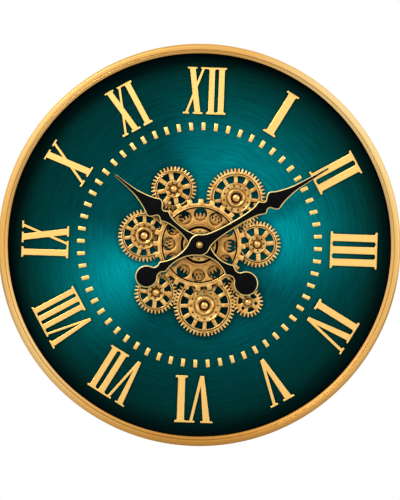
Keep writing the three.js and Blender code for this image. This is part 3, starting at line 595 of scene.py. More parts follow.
def spoked_windows(tree, given):
    """Windows between straight spokes: each is a grid bent between two radii, down to its outline."""
    sheet = add(tree, "GeometryNodeMeshGrid",
                {"Size X": 1.0, "Size Y": 1.0, "Vertices X": 2, "Vertices Y": 9})
    along, across, _ = add(tree, "ShaderNodeSeparateXYZ", {0: add(tree, "GeometryNodeInputPosition")}).outputs
    reach = add(tree, "ShaderNodeMapRange", {
        "Value": along, "From Min": -0.5, "From Max": 0.5,
        "To Min": given["Window Inner"], "To Max": given["Window Outer"],
    })
    ratio = add(tree, "ShaderNodeMath", {0: given["Spoke"], 1: reach}, operation="DIVIDE")
    half_ratio = add(tree, "ShaderNodeMath", {0: ratio, 1: 0.5}, operation="MULTIPLY")
    half_spoke = add(tree, "ShaderNodeMath", {0: half_ratio}, operation="ARCSINE")
    half_slice = add(tree, "ShaderNodeMath", {0: math.pi, 1: given["Windows"]}, operation="DIVIDE")
    wide = add(tree, "ShaderNodeMath", {0: half_slice, 1: given["Window Share"]}, operation="MULTIPLY")
    half_open = add(tree, "ShaderNodeMath", {0: wide, 1: half_spoke}, operation="SUBTRACT")
    swing = add(tree, "ShaderNodeMath", {0: across, 1: 2.0}, operation="MULTIPLY")
    bend = add(tree, "ShaderNodeMath", {0: swing, 1: half_open}, operation="MULTIPLY")
    arm = add(tree, "ShaderNodeCombineXYZ", {"X": reach})
    bent = add(tree, "ShaderNodeVectorRotate", {"Vector": arm, "Angle": bend}, rotation_type="Z_AXIS")
    window = add(tree, "GeometryNodeSetPosition", {"Geometry": sheet, "Position": bent})
    neighbours = add(tree, "GeometryNodeInputMeshEdgeNeighbors")
    rim = add(tree, "FunctionNodeCompare", {2: neighbours, 3: 1}, data_type="INT", operation="EQUAL")
    edge = add(tree, "GeometryNodeMeshToCurve", {"Mesh": window, "Selection": rim})
    eased = add(tree, "GeometryNodeFilletCurve", {
        "Curve": edge, "Radius": given["Window Round"], "Limit Radius": True, "Count": 4,
    }, mode="POLY")
    points, turn = points_on_circle(tree, given["Windows"], 0.0, given["Window Turn"])
    facing = add(tree, "ShaderNodeCombineXYZ", {"Z": turn})
    return add(tree, "GeometryNodeInstanceOnPoints",
               {"Points": points, "Instance": eased, "Rotation": facing})


def toothed_plate_tree():
    """A flat toothed plate with spoked windows, round holes and a bore."""
    tree = bpy.data.node_groups.new("toothed_plate", "GeometryNodeTree")
    given = inputs_of(
        tree, counts=["Teeth", "Windows", "Holes"],
        lengths=[
            "Tip Radius", "Root Radius", "Tooth Round", "Window Inner", "Window Outer", "Window Round",
            "Spoke", "Hole Radius", "Hole Circle", "Bore", "Thickness",
        ],
        numbers=["Tip Share", "Root Share", "Phase", "Window Share", "Window Turn", "Hole Turn"])
    points, _ = points_on_circle(tree, given["Holes"], given["Hole Circle"], given["Hole Turn"])
    hole = add(tree, "GeometryNodeCurvePrimitiveCircle", {"Resolution": 40, "Radius": given["Hole Radius"]})
    holes = add(tree, "GeometryNodeInstanceOnPoints", {"Points": points, "Instance": hole})
    bore = add(tree, "GeometryNodeCurvePrimitiveCircle", {"Resolution": 48, "Radius": given["Bore"]})
    outlines = [toothed_outline(tree, given), spoked_windows(tree, given), holes, bore]
    lines = add(tree, "GeometryNodeJoinGeometry", {"Geometry": outlines})
    loose = add(tree, "GeometryNodeRealizeInstances", {"Geometry": lines})
    face = add(tree, "GeometryNodeFillCurve", {"Curve": loose}, mode="TRIANGLES")
    raised = add(tree, "GeometryNodeExtrudeMesh", {
        "Mesh": face, "Offset Scale": given["Thickness"], "Individual": False,
    }, mode="FACES")
    under = add(tree, "GeometryNodeFlipFaces", {"Mesh": face})
    shell = add(tree, "GeometryNodeJoinGeometry", {"Geometry": [raised, under]})
    closed = add(tree, "GeometryNodeMergeByDistance", {"Geometry": shell, "Distance": 0.001 * MM})
    return finish_tree(tree, closed, given)


def rivet_ring_tree():
    """Domed rivets on a circle."""
    tree = bpy.data.node_groups.new("rivet_ring", "GeometryNodeTree")
    given = inputs_of(tree, ["Count"], ["Circle", "Rivet Radius", "Rivet Height"], ["Turn"])
    points, _ = points_on_circle(tree, given["Count"], given["Circle"], given["Turn"])
    ball = add(tree, "GeometryNodeMeshUVSphere", {"Segments": 14, "Rings": 8, "Radius": 1.0})
    radius = given["Rivet Radius"]
    size = add(tree, "ShaderNodeCombineXYZ", {"X": radius, "Y": radius, "Z": given["Rivet Height"]})
    heads = add(tree, "GeometryNodeInstanceOnPoints", {"Points": points, "Instance": ball, "Scale": size})
    return finish_tree(tree, heads, given)


def minute_track_tree():
    """Raised minute marks on a circle, long side along the radius."""
    tree = bpy.data.node_groups.new("minute_track", "GeometryNodeTree")
    given = inputs_of(tree, ["Count"], ["Circle", "Length", "Width", "Height"])
    points, bearing = points_on_circle(tree, given["Count"], given["Circle"], 0.0)
    size = add(tree, "ShaderNodeCombineXYZ",
               {"X": given["Length"], "Y": given["Width"], "Z": given["Height"]})
    block = add(tree, "GeometryNodeMeshCube", {"Size": size})
    facing = add(tree, "ShaderNodeCombineXYZ", {"Z": bearing})
    marks = add(tree, "GeometryNodeInstanceOnPoints",
                {"Points": points, "Instance": block, "Rotation": facing})
    return finish_tree(tree, marks, given)


toothed_plate = toothed_plate_tree()
rivet_ring = rivet_ring_tree()
minute_track = minute_track_tree()

# What a toothed plate with no windows and no holes leaves unused
NO_OPENINGS = {
    "Windows": 0, "Window Share": 1.0, "Window Inner": 2, "Window Outer": 3, "Window Turn": 0.0,
    "Window Round": 0, "Spoke": 1, "Holes": 0, "Hole Radius": 1, "Hole Circle": 3, "Hole Turn": 0.0,
}


# Case: spun bezel, and the wall inside it, black as painted shade
CASE_RADIUS = half_width("case_rim")
BEZEL_INNER = CASE_RADIUS - 14
BEZEL_SIDES = 288
case_back, case_front = levels("case_rim")
dial_back, dial_front = levels("dial_plate")


def make_case():
    sheet = 1.2
    corner = 3
    groove_depth = 1.4
    face_inner = CASE_RADIUS - 8.8
    lip = case_front - 5.6
    # The face, a groove and a sloping ledge are one spun sheet
    groove = case_front - groove_depth
    skin = [
        (CASE_RADIUS, case_back), (CASE_RADIUS, case_front - corner), (CASE_RADIUS - corner, case_front),
        (face_inner, case_front), (face_inner - 0.5, groove), (face_inner - 1.3, groove),
        (face_inner - 1.6, groove + 0.5), (BEZEL_INNER + 0.4, lip + 2), (BEZEL_INNER, lip + 1.6),
        (BEZEL_INNER, lip),
    ]
    shell, neck = CASE_RADIUS - sheet, BEZEL_INNER + sheet
    lining = [
        (neck, lip), (neck, lip + 0.8), (face_inner + sheet, case_front - 2 * sheet),
        (shell - corner, case_front - sheet), (shell, case_front - corner - sheet), (shell, case_back),
    ]
    bezel = lathe([soften(skin + lining, 0.25)], sides=BEZEL_SIDES)
    dress("bezel", bezel, "case", "bezel_gold", "case_rim")
    # The wall from the ledge down to the dial has spun steps, and is black like the dial's rim: painted shade
    # of the gap down to the dial
    steps, step_in, step_rise = 4, 0.2, 0.3
    foot = dial_front + SEAT_GAP
    drop = (lip - foot) / steps
    wall = []
    for i in range(steps):
        radius, top = BEZEL_INNER - step_in * i, lip - drop * i
        wall += [(radius, top), (radius, top - drop + step_rise)]
    wall += [(radius, foot), (neck, foot), (neck, lip)]
    dress("bezel_wall", lathe([wall], sides=BEZEL_SIDES), "case", "black_enamel")


make_case()


# Wheel train: the wheel that each one meshes with, its teeth and windows, the width of its spokes and
# rim, its hub disc's radius, and the rivets on the disc
Wheel = namedtuple("Wheel", "parent teeth windows spoke rim hub rivets")
WHEELS = {
    "centre": Wheel(None, 52, 6, 7.0, 6.0, 19.0, 0),
    "upper_right": Wheel("centre", 48, 11, 5.2, 5.8, 22.4, 12),
    "right": Wheel("upper_right", 37, 8, 6.2, 4.6, 13.2, 8),
    "left": Wheel("centre", 42, 11, 5.0, 4.0, 20.0, 12),
    "bottom": Wheel("centre", 50, 12, 5.4, 5.2, 24.2, 12),
    "lower_left": Wheel("bottom", 34, 8, 6.0, 3.5, 12.6, 8),
    "lower_right": Wheel("bottom", 23, 3, 3.6, 2.2, 7.6, 0),
    "rear_idler": Wheel("bottom", 16, 0, 0.0, 0.0, 0.0, 0),
    "top_idler": Wheel("centre", 10, 0, 0.0, 0.0, 0.0, 0),
    "upper_left": Wheel("top_idler", 36, 8, 6.3, 3.7, 12.8, 8),
}
# Outer radius of the turned collet, on the wheels that have one
COLLETS = {"upper_right": 13.9, "left": 13.4, "bottom": 14.9}
TOOTH_MODULE = 1.75
TOOTH_TIP = 2.6
TOOTH_ROOT = 2.8
# The hub disc's edge and its sunk face, above the wheel's face
HUB_RISE = 1.2
DISC_RISE = 0.75
POST_BORE = 3.4
CENTRE_BORE = 8.5
RIVET = {"Rivet Radius": 1.4, "Rivet Height": 0.5, "Material": rivet_and_shade_bronze}


def wheel_body(name):
    return "centre_train" if name == "centre" else name + "_gear"


def wheel_spot(name):
    place = hinge_place[wheel_body(name)]
    return place.x / MM, place.z / MM


def tooth_phases():
    """Where a tooth of each wheel stands, so that every tooth meets its neighbour's gap."""
    phases = {}
    for name, wheel in WHEELS.items():
        phases[name] = math.pi / 2
        if wheel.parent:
            (x, y), (px, py) = wheel_spot(name), wheel_spot(wheel.parent)
            direction = math.atan2(y - py, x - px)
            parent_step = FULL_TURN / WHEELS[wheel.parent].teeth
            parent_share = (direction - phases[wheel.parent]) / parent_step
            phases[name] = direction + math.pi - (0.5 - parent_share) * FULL_TURN / wheel.teeth
    return phases


def plate_values(name, phase):
    """What the toothed plate tree needs for one train wheel."""
    wheel = WHEELS[name]
    pitch_radius = TOOTH_MODULE * wheel.teeth / 2
    root = pitch_radius - TOOTH_ROOT
    inner, outer = wheel.hub + 0.7, root - wheel.rim
    back, front = levels(name + "_wheel")
    has_disc = wheel.parent and wheel.hub
    # The smallest open wheel has a round hole between one window and the next
    holed = name == "lower_right"
    slices = max(1, 2 * wheel.windows if holed else wheel.windows)
    return {
        "Teeth": wheel.teeth, "Tip Radius": pitch_radius + TOOTH_TIP, "Root Radius": root,
        "Tip Share": 0.15, "Root Share": 0.33, "Phase": phase, "Tooth Round": 0.45,
        "Windows": wheel.windows, "Window Share": 0.5 if holed else 1.0, "Window Inner": inner,
        "Window Outer": outer, "Window Turn": phase + math.pi / slices, "Window Round": 1.1,
        "Spoke": wheel.spoke, "Holes": wheel.windows if holed else 0, "Hole Radius": 2.6,
        "Hole Circle": (inner + outer) / 2, "Hole Turn": phase + 1.5 * FULL_TURN / slices,
        "Bore": POST_BORE if wheel.parent else CENTRE_BORE,
        "Thickness": front - back - (HUB_RISE if has_disc else 0.0),
        "Place": in_row(*wheel_spot(name), back), "Material": finishes["antique_brass"],
    }


def wheel_rings(name, root):
    """Rings turned on a wheel's axis: the hub disc, the raised lip, and a dark ring beside it, laid as
    painted shade of a groove.
    """
    wheel = WHEELS[name]
    face = levels(name + "_wheel")[1] - HUB_RISE
    foot, crest, sunk = face - 0.4, face + HUB_RISE, face + DISC_RISE
    disc = [
        (POST_BORE, foot), (wheel.hub, foot), (wheel.hub, crest), (wheel.hub - 1.4, crest),
        (wheel.hub - 2.0, sunk), (POST_BORE, sunk),
    ]
    inner = root - wheel.rim + 0.3
    outer = inner + 0.33 * (wheel.rim - 0.3)
    lip = ring_profile(inner, outer, foot, face + 0.8, 0.3)
    # A thin dark ring on the face beside the lip is painted shade of a groove
    groove = ring_profile(outer - 0.2, outer + 1.2, face - 0.3, face + 0.12, 0.3)
    return soften(disc, 0.3), lip, groove


def hub_trim(name, phase):
    """Rivets on a hub disc, and the dark dish round its post's head or inside its collet, laid as painted
    shade.
    """
    wheel = WHEELS[name]
    x, y = wheel_spot(name)
    sunk = levels(name + "_wheel")[1] - HUB_RISE + DISC_RISE
    inset = 4.1 if name in COLLETS else 3.6
    rivets = grown(rivet_ring, {
        **RIVET, "Count": wheel.rivets, "Circle": wheel.hub - inset, "Turn": phase,
        "Place": in_row(x, y, sunk),
    })
    # The dish is a dark ring of painted shade round the dome
    dish = [(3.6, -0.3), (7.4, -0.3), (7.4, 0.15), (3.6, 0.15)]
    if name in COLLETS:
        dish = [(3.6, -0.3), (9.4, -0.3), (9.4, 0.9), (8.6, 0.9), (7.4, 0.35), (3.6, 0.35)]
    shade_dish = lathe([[(radius, sunk + rise) for radius, rise in dish]], x, y, 72)
    return smooth(merged([rivets, shade_dish]), 50)


def make_wheels():
    least_grooved_rim = 3
    phases = tooth_phases()
    for name, wheel in WHEELS.items():
        body, (x, y) = wheel_body(name), wheel_spot(name)
        values = plate_values(name, phases[name])
        parts = [grown(toothed_plate, values, edge=0.25)]
        # Wheels with no hub disc sit back behind others and take the darker copy, as painted shade
        metal = shade_toned_brass
        if wheel.parent and wheel.hub:
            metal = finishes["antique_brass"]
            disc, lip, groove = wheel_rings(name, values["Root Radius"])
            parts.append(lathe([disc], x, y, 120))
            if wheel.rim > least_grooved_rim:
                dress(name + "_lip", lathe([lip], x, y, 144), body, "polished_brass")
                line = lathe([groove], x, y, 144)
                dress(name + "_shade_ring", line, body, "antique_brass", metal=painted_shade_bronze)
            if wheel.rivets:
                trim = hub_trim(name, phases[name])
                dress(name + "_rivets", trim, body, "antique_brass", metal=rivet_and_shade_bronze)
        node = name + "_wheel"
        dress(node + "_fine", smooth(merged(parts), 40), body, "antique_brass", node, metal=metal)


make_wheels()


# Turned parts of the train: posts, collets and pillars
PILLARS = ("upper_left", "upper_right", "lower_left")
STEM_RADIUS = 3
POST_SHOULDER = 6
PILLAR_SHOULDER = 4.5
COLLET_BORE = 8.6
# Post heads: the radius of the stand and of the dome on it, and the stand's height
POST_HEADS = {"idler": (4.4, 4.2, 0.5), "collet": (5.8, 5.7, 0.4), "disc": (5.9, 5.8, 0.4)}


def make_posts():
    for name, wheel in WHEELS.items():
        if not wheel.parent:
            continue
        node = name + "_post"
        tail, crown = levels(node)
        back, front = levels(name + "_wheel")
        foot, seat, base = dial_front + SEAT_GAP, back - SEAT_GAP, front + SEAT_GAP
        profile = [
            (0, tail), (STEM_RADIUS, tail), (STEM_RADIUS, foot), (POST_SHOULDER, foot), (POST_SHOULDER, seat),
            (STEM_RADIUS, seat), (STEM_RADIUS, base),
        ]
        kind = "collet" if name in COLLETS else "disc" if wheel.hub else "idler"
        radius, dome_radius, height = POST_HEADS[kind]
        stand = base + height
        profile += [(radius, base), (radius, stand), *dome(dome_radius, stand, crown - stand)]
        dress(node + "_turned", lathe([profile], *wheel_spot(name), 64), "case", "polished_brass", node)


def make_collets():
    for name, radius in COLLETS.items():
        node = name + "_collet"
        base, crown = levels(node)
        rim, spring = base + 0.8, base + 1
        # The roll runs from the outer edge over its crest to the dish inside
        crest = (radius + 9.0) / 2
        reach = radius - crest - 0.4
        angles = [math.pi * i / 14 for i in range(15)]
        roll = [(crest + reach * math.cos(a), spring + (crown - spring) * math.sin(a)) for a in angles]
        profile = [(COLLET_BORE, base), (radius, base), (radius, rim), *roll, (COLLET_BORE, rim)]
        mesh = lathe([profile], *wheel_spot(name), 96)
        dress(node + "_turned", mesh, wheel_body(name), "polished_brass", node)


def make_pillars():
    plate_front = levels("train_plate")[1]
    seat, shoulder, neck = plate_front + SEAT_GAP, dial_back - SEAT_GAP, dial_front + SEAT_GAP
    flange, flange_height, head_radius, head_lift = 5.6, 0.7, 5.3, 0.8
    for corner in PILLARS:
        node = corner + "_pillar"
        tail, crown = levels(node)
        profile = [
            (0, tail), (STEM_RADIUS, tail), (STEM_RADIUS, seat), (PILLAR_SHOULDER, seat),
            (PILLAR_SHOULDER, shoulder), (STEM_RADIUS, shoulder), (STEM_RADIUS, neck), (flange, neck),
            (flange, neck + flange_height),
        ]
        profile += dome(head_radius, neck + head_lift, crown - neck - head_lift)
        dress(node + "_turned", lathe([profile], *middle(node), 48), "case", "polished_brass", node)


make_posts()
make_collets()
make_pillars()


# Ring gear, boss and cap nut on the centre line
RING_TIP = 69
RING_ROOT = 62.8
RING_BAND_INNER = 57.4
RING_SIDES = 192
WEB_INNER = 31.2
BOSS_RADIUS = 24.6


def make_ring_gear():
    back, front = levels("ring_gear")
    body, slot = "centre_train", "antique_brass"
    band_values = {
        **NO_OPENINGS, "Teeth": 24, "Tip Radius": RING_TIP, "Root Radius": RING_ROOT, "Tip Share": 0.19,
        "Root Share": 0.24, "Phase": math.pi / 2, "Tooth Round": 0.5, "Bore": RING_BAND_INNER,
        "Thickness": front - back - 0.5, "Place": in_row(0, 0, back), "Material": finishes[slot],
    }
    band = grown(toothed_plate, band_values, edge=0.35)
    # The web is a round plate: its tips and roots lie on one circle
    web_rim = RING_BAND_INNER + 0.3
    web = grown(toothed_plate, {
        **band_values, "Teeth": 48, "Tip Radius": web_rim, "Root Radius": web_rim, "Tip Share": 0.125,
        "Root Share": 0.375, "Tooth Round": 0, "Holes": 12, "Hole Radius": 10.1, "Hole Circle": 46,
        "Hole Turn": math.pi / 2, "Bore": WEB_INNER, "Thickness": 2,
    }, edge=0.35)
    # A lip stands round the middle of the web, and inside it a lower ring narrows the dark recess, whose
    # floor is painted shade
    lip = ring_profile(WEB_INNER, WEB_INNER + 2, back, back + 2.6, 0.5)
    step = ring_profile(WEB_INNER - 3, WEB_INNER + 0.1, back, back + 1.8, 0.5)
    web_mesh = smooth(merged([web, lathe([lip, step], sides=RING_SIDES)]), 40)
    dress("ring_gear_web", web_mesh, body, slot, metal=shade_toned_brass)
    dress("ring_gear_fine", smooth(band, 40), body, slot, "ring_gear")
    # Another lip stands on the band's inner edge, and dark rings of painted shade run beside both
    edge = ring_profile(RING_BAND_INNER - 0.4, RING_BAND_INNER + 1.2, front - 1.6, front, 0.5)
    dress("ring_gear_lip", lathe([edge], sides=RING_SIDES), body, "polished_brass")
    floor = ring_profile(CENTRE_BORE, WEB_INNER + 0.2, back, back + 0.8, 0.2)
    line = ring_profile(RING_BAND_INNER - 2.4, RING_BAND_INNER + 0.1, back + 1.8, back + 2.15, 0.1)
    shade_rings = lathe([floor, line], sides=RING_SIDES)
    dress("ring_gear_shade_ring", shade_rings, body, slot, metal=painted_shade_bronze)


def make_boss():
    back, crown = levels("centre_boss")
    face = crown - 0.2
    bevel = 0.8
    profile = [
        (CENTRE_BORE, back), (BOSS_RADIUS, back), (BOSS_RADIUS, face - bevel), (BOSS_RADIUS - bevel, face),
        (CENTRE_BORE, face),
    ]
    mesh = lathe([soften(profile, 0.35)], sides=120)
    dress("centre_boss_turned", mesh, "centre_train", "antique_brass", "centre_boss")
    heads = grown(rivet_ring, {
        **RIVET, "Count": 12, "Circle": BOSS_RADIUS - 3.4, "Turn": 0.0, "Place": in_row(0, 0, face),
    })
    dress("boss_rivets", smooth(heads, 60), "centre_train", "antique_brass")


def make_nut():
    base, crown = levels("hand_nut")
    bore, thread_depth, flange = 2, 2.6, 4.6
    profile = [
        (0, base + thread_depth), (bore, base + thread_depth), (bore, base), (flange, base),
        (flange, base + 0.8), (flange - 0.5, base + 1.1),
    ]
    profile += dome(3.9, base + 1.2, crown - base - 1.2)
    dress("cap_nut", lathe([profile], sides=64), "minute_set", "polished_brass", "hand_nut")


make_ring_gear()
make_boss()
make_nut()


# Dial and minute track
TRACK_RADIUS = 178.9


def make_dial():
    holes = [ring_points(CENTRE_BORE + 0.2, 48)]
    stems = [wheel_spot(name) for name, wheel in WHEELS.items() if wheel.parent]
    stems += [middle(corner + "_pillar") for corner in PILLARS]
    holes += [ring_points(POST_BORE, 24, x, y) for x, y in stems]
    edge = ring_points(half_width("dial_plate"), BEZEL_SIDES)
    dress("dial", flat_plate([edge, *holes], dial_back, dial_front), "case", "teal_lacquer", "dial_plate")
    marks = grown(minute_track, {
        "Count": 60, "Circle": TRACK_RADIUS, "Length": 11.6, "Width": 5.6, "Height": 1.1,
        "Place": in_row(0, 0, dial_front + 0.45), "Material": finishes["numeral_gold"],
    }, edge=0.3)
    dress("minute_marks", smooth(marks, 30), "case", "numeral_gold")


make_dial()


# Raised Roman numerals, drawn upright with y from the inner end to the outer end
NUMERAL_INNER = 197
NUMERAL_HEIGHT = 71
STEM = 10.2
THIN_STROKE = 4.4
SERIF_OVERHANG = 3.5
SERIF_THICKNESS = 3.0
SERIF_TOP = NUMERAL_HEIGHT - SERIF_THICKNESS
STEM_HALF = STEM / 2
THIN_HALF = THIN_STROKE / 2


def slanted(bottom, top):
    """An edge that leans from the inner end to the outer end: its x at a height."""
    return lambda y: bottom + (top - bottom) * y / NUMERAL_HEIGHT


def stroke(bottom, top, half):
    """The left and right edges of a slanted stroke, from its middle line."""
    return slanted(bottom - half, top - half), slanted(bottom + half, top + half)


def meeting(first, second):
    """Where two slanted edges cross."""
    gap, slope = second(0) - first(0), (first(1) - first(0)) - (second(1) - second(0))
    y = gap / slope
    return first(y), y


def on(edge, height):
    """The point of a slanted edge at a height."""
    return edge(height), height


def outer_serif(middle_x, half):
    """A serif at the outer end, from its right side round to its left side."""
    left, right = middle_x - half - SERIF_OVERHANG, middle_x + half + SERIF_OVERHANG
    return [(right, SERIF_TOP), (right, NUMERAL_HEIGHT), (left, NUMERAL_HEIGHT), (left, SERIF_TOP)]


def inner_serif(middle_x, half):
    """A serif at the inner end, from its left side round to its right side."""
    left, right = middle_x - half - SERIF_OVERHANG, middle_x + half + SERIF_OVERHANG
    return [(left, SERIF_THICKNESS), (left, 0), (right, 0), (right, SERIF_THICKNESS)]


def letter_i():
    end = STEM_HALF + SERIF_OVERHANG
    bracket = [(STEM_HALF + 1.2, SERIF_THICKNESS + 0.4), (STEM_HALF, SERIF_THICKNESS + 1.8)]
    right = [(end, SERIF_THICKNESS), *bracket]
    right += [(x, NUMERAL_HEIGHT - y) for x, y in reversed(right)]
    right = [(end, 0), *right, (end, NUMERAL_HEIGHT)]
    return right + [(-x, y) for x, y in reversed(right)], end, end


def letter_v():
    lean, thin_lean, apex = -8.2, 14.4, 2.8
    thick_left, thick_right = slanted(-apex, lean - STEM_HALF), slanted(apex, lean + STEM_HALF)
    thin_left, thin_right = stroke(apex - THIN_HALF, thin_lean, THIN_HALF)
    outline = [(-apex, 0), (apex, 0), on(thin_right, SERIF_TOP), *outer_serif(thin_lean, THIN_HALF)]
    outline += [on(thin_left, SERIF_TOP), meeting(thin_left, thick_right), on(thick_right, SERIF_TOP)]
    outline += [*outer_serif(lean, STEM_HALF), on(thick_left, SERIF_TOP)]
    return outline, STEM_HALF + SERIF_OVERHANG - lean, thin_lean + THIN_HALF + SERIF_OVERHANG


def letter_x():
    lean, thin_lean = 5.8, 15.0
    thick_left, thick_right = stroke(lean, -lean, STEM_HALF)
    thin_left, thin_right = stroke(-thin_lean, thin_lean, THIN_HALF)
    foot, top = SERIF_THICKNESS, SERIF_TOP
    outline = inner_serif(-thin_lean, THIN_HALF)
    outline += [on(thin_right, foot), meeting(thin_right, thick_left), on(thick_left, foot)]
    outline += inner_serif(lean, STEM_HALF)
    outline += [on(thick_right, foot), meeting(thick_right, thin_right), on(thin_right, top)]
    outline += outer_serif(thin_lean, THIN_HALF)
    outline += [on(thin_left, top), meeting(thin_left, thick_right), on(thick_right, top)]
    outline += outer_serif(-lean, STEM_HALF)
    outline += [on(thick_left, top), meeting(thick_left, thin_left), on(thin_left, foot)]
    reach = thin_lean + THIN_HALF + SERIF_OVERHANG
    return outline, reach, reach


# Each letter: its outline, and its reach to the left and to the right
LETTERS = {"I": letter_i(), "V": letter_v(), "X": letter_x()}
# Numerals in order, with their widths
HOURS = {
    "I": 20.6, "II": 38.6, "III": 55.6, "IV": 55.4, "V": 40.0, "VI": 57.6, "VII": 64.6, "VIII": 70.0,
    "IX": 54.4, "X": 41.0, "XI": 51.0, "XII": 64.4,
}


def make_numerals():
    for hour, (text, width) in enumerate(HOURS.items(), 1):
        node = f"numeral_{hour:02d}"
        back, front = levels(node)
        drawn_width = sum(LETTERS[letter][1] + LETTERS[letter][2] for letter in text)
        draw_in = width / drawn_width
        edge = -drawn_width / 2
        letters = []
        for letter in text:
            outline, left, right = LETTERS[letter]
            placed = [((x + edge + left) * draw_in, y + NUMERAL_INNER) for x, y in outline]
            letters.append(flat_plate([placed], back, front, edge=0.6, turn=-FULL_TURN * hour / 12))
            edge += left + right
        dress(node + "_cut", smooth(merged(letters), 20), "case", "numeral_gold", node)


make_numerals()


# Hands, drawn pointing to twelve: one side is a chain of curves from the tip to the tail disc, each with
# a control point and an end as half width and distance (below the tip, or above the tail disc's edge)
HANDS = {
    "minute_hand": {
        "body": "minute_set", "bearing": 57.3, "tip": 224, "hub": 16.2, "disc": 16.6, "reach": 92.2,
        "bore": 2.0,
        "blade": [
            (2.2, 32, 4.4, 58), (7, 75, 12, 88), (16.6, 93.6, 13.6, 97.8), (10, 102, 6.8, 104),
            (4.2, 106, 7.2, 110.4), (13.2, 114.6, 9.2, 119), (5.2, 126, 4.8, 154),
        ],
        "tail": [(3.4, 52, 3.3, 35.6), (3.6, 21.6, 9.2, 11.6), (5.5, 7.6, 5.5, 2.6)],
    },
    "hour_hand": {
        "body": "hour_set", "bearing": 307.7, "tip": 164, "hub": 15.6, "disc": 18.2, "reach": 90.4,
        "bore": 3.3,
        "blade": [
            (2, 22, 4.2, 40), (8, 58, 13.4, 70), (18, 75.6, 15, 79.6), (11.6, 84, 7.2, 86.2),
            (4.6, 88, 6.6, 92), (11.4, 95.4, 8.2, 99.4), (4.8, 105, 3.9, 118),
        ],
        "tail": [(3.6, 50, 3.3, 35.2), (4, 22.2, 10, 13.2), (5.5, 8.2, 5.5, 3.2)],
    },
}
HAND_BORDER = 1.4
HAND_TIP_HALF = 1.5
# Height above the axis where the blade begins to widen into the hub
HUB_FLARE = 22
# Half width where the tail meets its disc
TAIL_NECK = 5.5


def curve_to(points, control, end, steps=14):
    """Carry a side on along a curve that bends towards a control point."""
    start, control, end = Vector(points[-1]), Vector(control), Vector(end)
    for i in range(1, steps + 1):
        t = i / steps
        points.append(tuple(start.lerp(control, t).lerp(control.lerp(end, t), t)))


def arc_to(points, radius, start, end, drop=0.0, steps=20):
    """Carry a side on along an arc round the hand's middle line, from one angle to another."""
    for i in range(1, steps + 1):
        angle = start + (end - start) * i / steps
        points.append((radius * math.cos(angle), radius * math.sin(angle) - drop))


def hand_side(hand):
    """The right side of a hand, from its tip to the foot of its tail disc."""
    tip, hub, disc, reach = hand["tip"], hand["hub"], hand["disc"], hand["reach"]
    points = [(HAND_TIP_HALF, tip)]
    for control_x, control_y, x, y in hand["blade"]:
        curve_to(points, (control_x, tip - control_y), (x, tip - y))
    corner = hub * math.sqrt(0.5)
    curve_to(points, (points[-1][0], HUB_FLARE), (corner, corner))
    arc_to(points, hub, math.pi / 4, -math.pi / 4)
    foot = disc - reach
    for control_x, control_y, x, y in hand["tail"]:
        curve_to(points, (control_x, foot + control_y), (x, foot + y))
    arc_to(points, disc, math.acos(TAIL_NECK / disc), -math.pi / 2, reach, 32)
    return eased_side(points)


def eased_side(points, step=0.8, passes=6):
    """The side stepped off evenly and its corners eased; the tip and the foot stay."""
    spots = [Vector(points[0])]
    for point in points[1:]:
        end = Vector(point)
        while (end - spots[-1]).length > step:
            spots.append(spots[-1] + (end - spots[-1]).normalized() * step)
    spots.append(Vector(points[-1]))
    for _ in range(passes):
        inner = [(a + 2 * b + c) / 4 for a, b, c in zip(spots, spots[1:], spots[2:])]
        spots = [spots[0], *inner, spots[-1]]
    return [tuple(spot) for spot in spots]


def nearest_gap(point, a, b):
    """How far a point is from the stretch between two others."""
    run = b - a
    share = max(0.0, min(1.0, (point - a).dot(run) / max(run.length_squared, 1e-12)))
    return (point - a - run * share).length


def inset_side(side, distance):
    """The same side drawn in by a distance, with no point nearer to the edge than that."""
    spots = [Vector(point) for point in side]
    kept = []
    for i, here in enumerate(spots):
        run = spots[min(i + 1, len(spots) - 1)] - spots[max(i - 1, 0)]
        inward = Vector((run.y, -run.x)).normalized()
        # The border thins out along the tip
        border = min(distance, 0.3 * here.x) if here.y > 0 else distance
        moved = here + inward * border
        gap = min(nearest_gap(moved, a, b) for a, b in zip(spots, spots[1:]))
        if moved.x > 0.25 and gap > 0.985 * border:
            kept.append(tuple(moved))
    return kept


def both_sides(side):
    """The whole outline: a right side, and its mirror image back to the tip."""
    return side + [(-x, y) for x, y in reversed(side) if x > 0.01]


def make_hands():
    for node, hand in HANDS.items():
        back, front = levels(node)
        turn = -math.radians(hand["bearing"])
        side = hand_side(hand)
        bore = ring_points(hand["bore"], 40)
        plate = flat_plate([both_sides(side), bore], back, front, edge=0.2, turn=turn)
        dress(node + "_edge", plate, hand["body"], "numeral_gold", node, metal=edge_gold)
        field = both_sides(inset_side(side, HAND_BORDER))
        inlay = flat_plate([field, bore], front - 0.3, front + 0.2, edge=0.1, turn=turn)
        dress(node + "_inlay", inlay, hand["body"], "black_enamel")


make_hands()


# Back: pressed cover, sliding battery door, keyhole hanger and setting knob
COVER_RADIUS = half_width("back_cover")
COVER_RAISED = 0.3
COVER_FIELD = 0.9
COVER_INSIDE = 1.5
COVER_BEADS = ((126, 131), (262, 267))
COVER_BORDER = 284.5
DOOR_OPENING = (60, 34)
DOOR_PLATE = (66, 40)
DOOR_TRAVEL = 30
HANGER_PLATE = (40, 60)
HANGER_WINDOW = (24, 44)
KNOB_HOLE = 10.5


def rounded_rectangle(width, height, corner, x=0.0, y=0.0, steps=5):
    points = []
    for quarter, (across, up) in enumerate(((1, 1), (-1, 1), (-1, -1), (1, -1))):
        cx, cy = x + across * (width / 2 - corner), y + up * (height / 2 - corner)
        angles = [math.pi / 2 * (quarter + i / steps) for i in range(steps + 1)]
        points += [(cx + corner * math.cos(a), cy + corner * math.sin(a)) for a in angles]
    return points


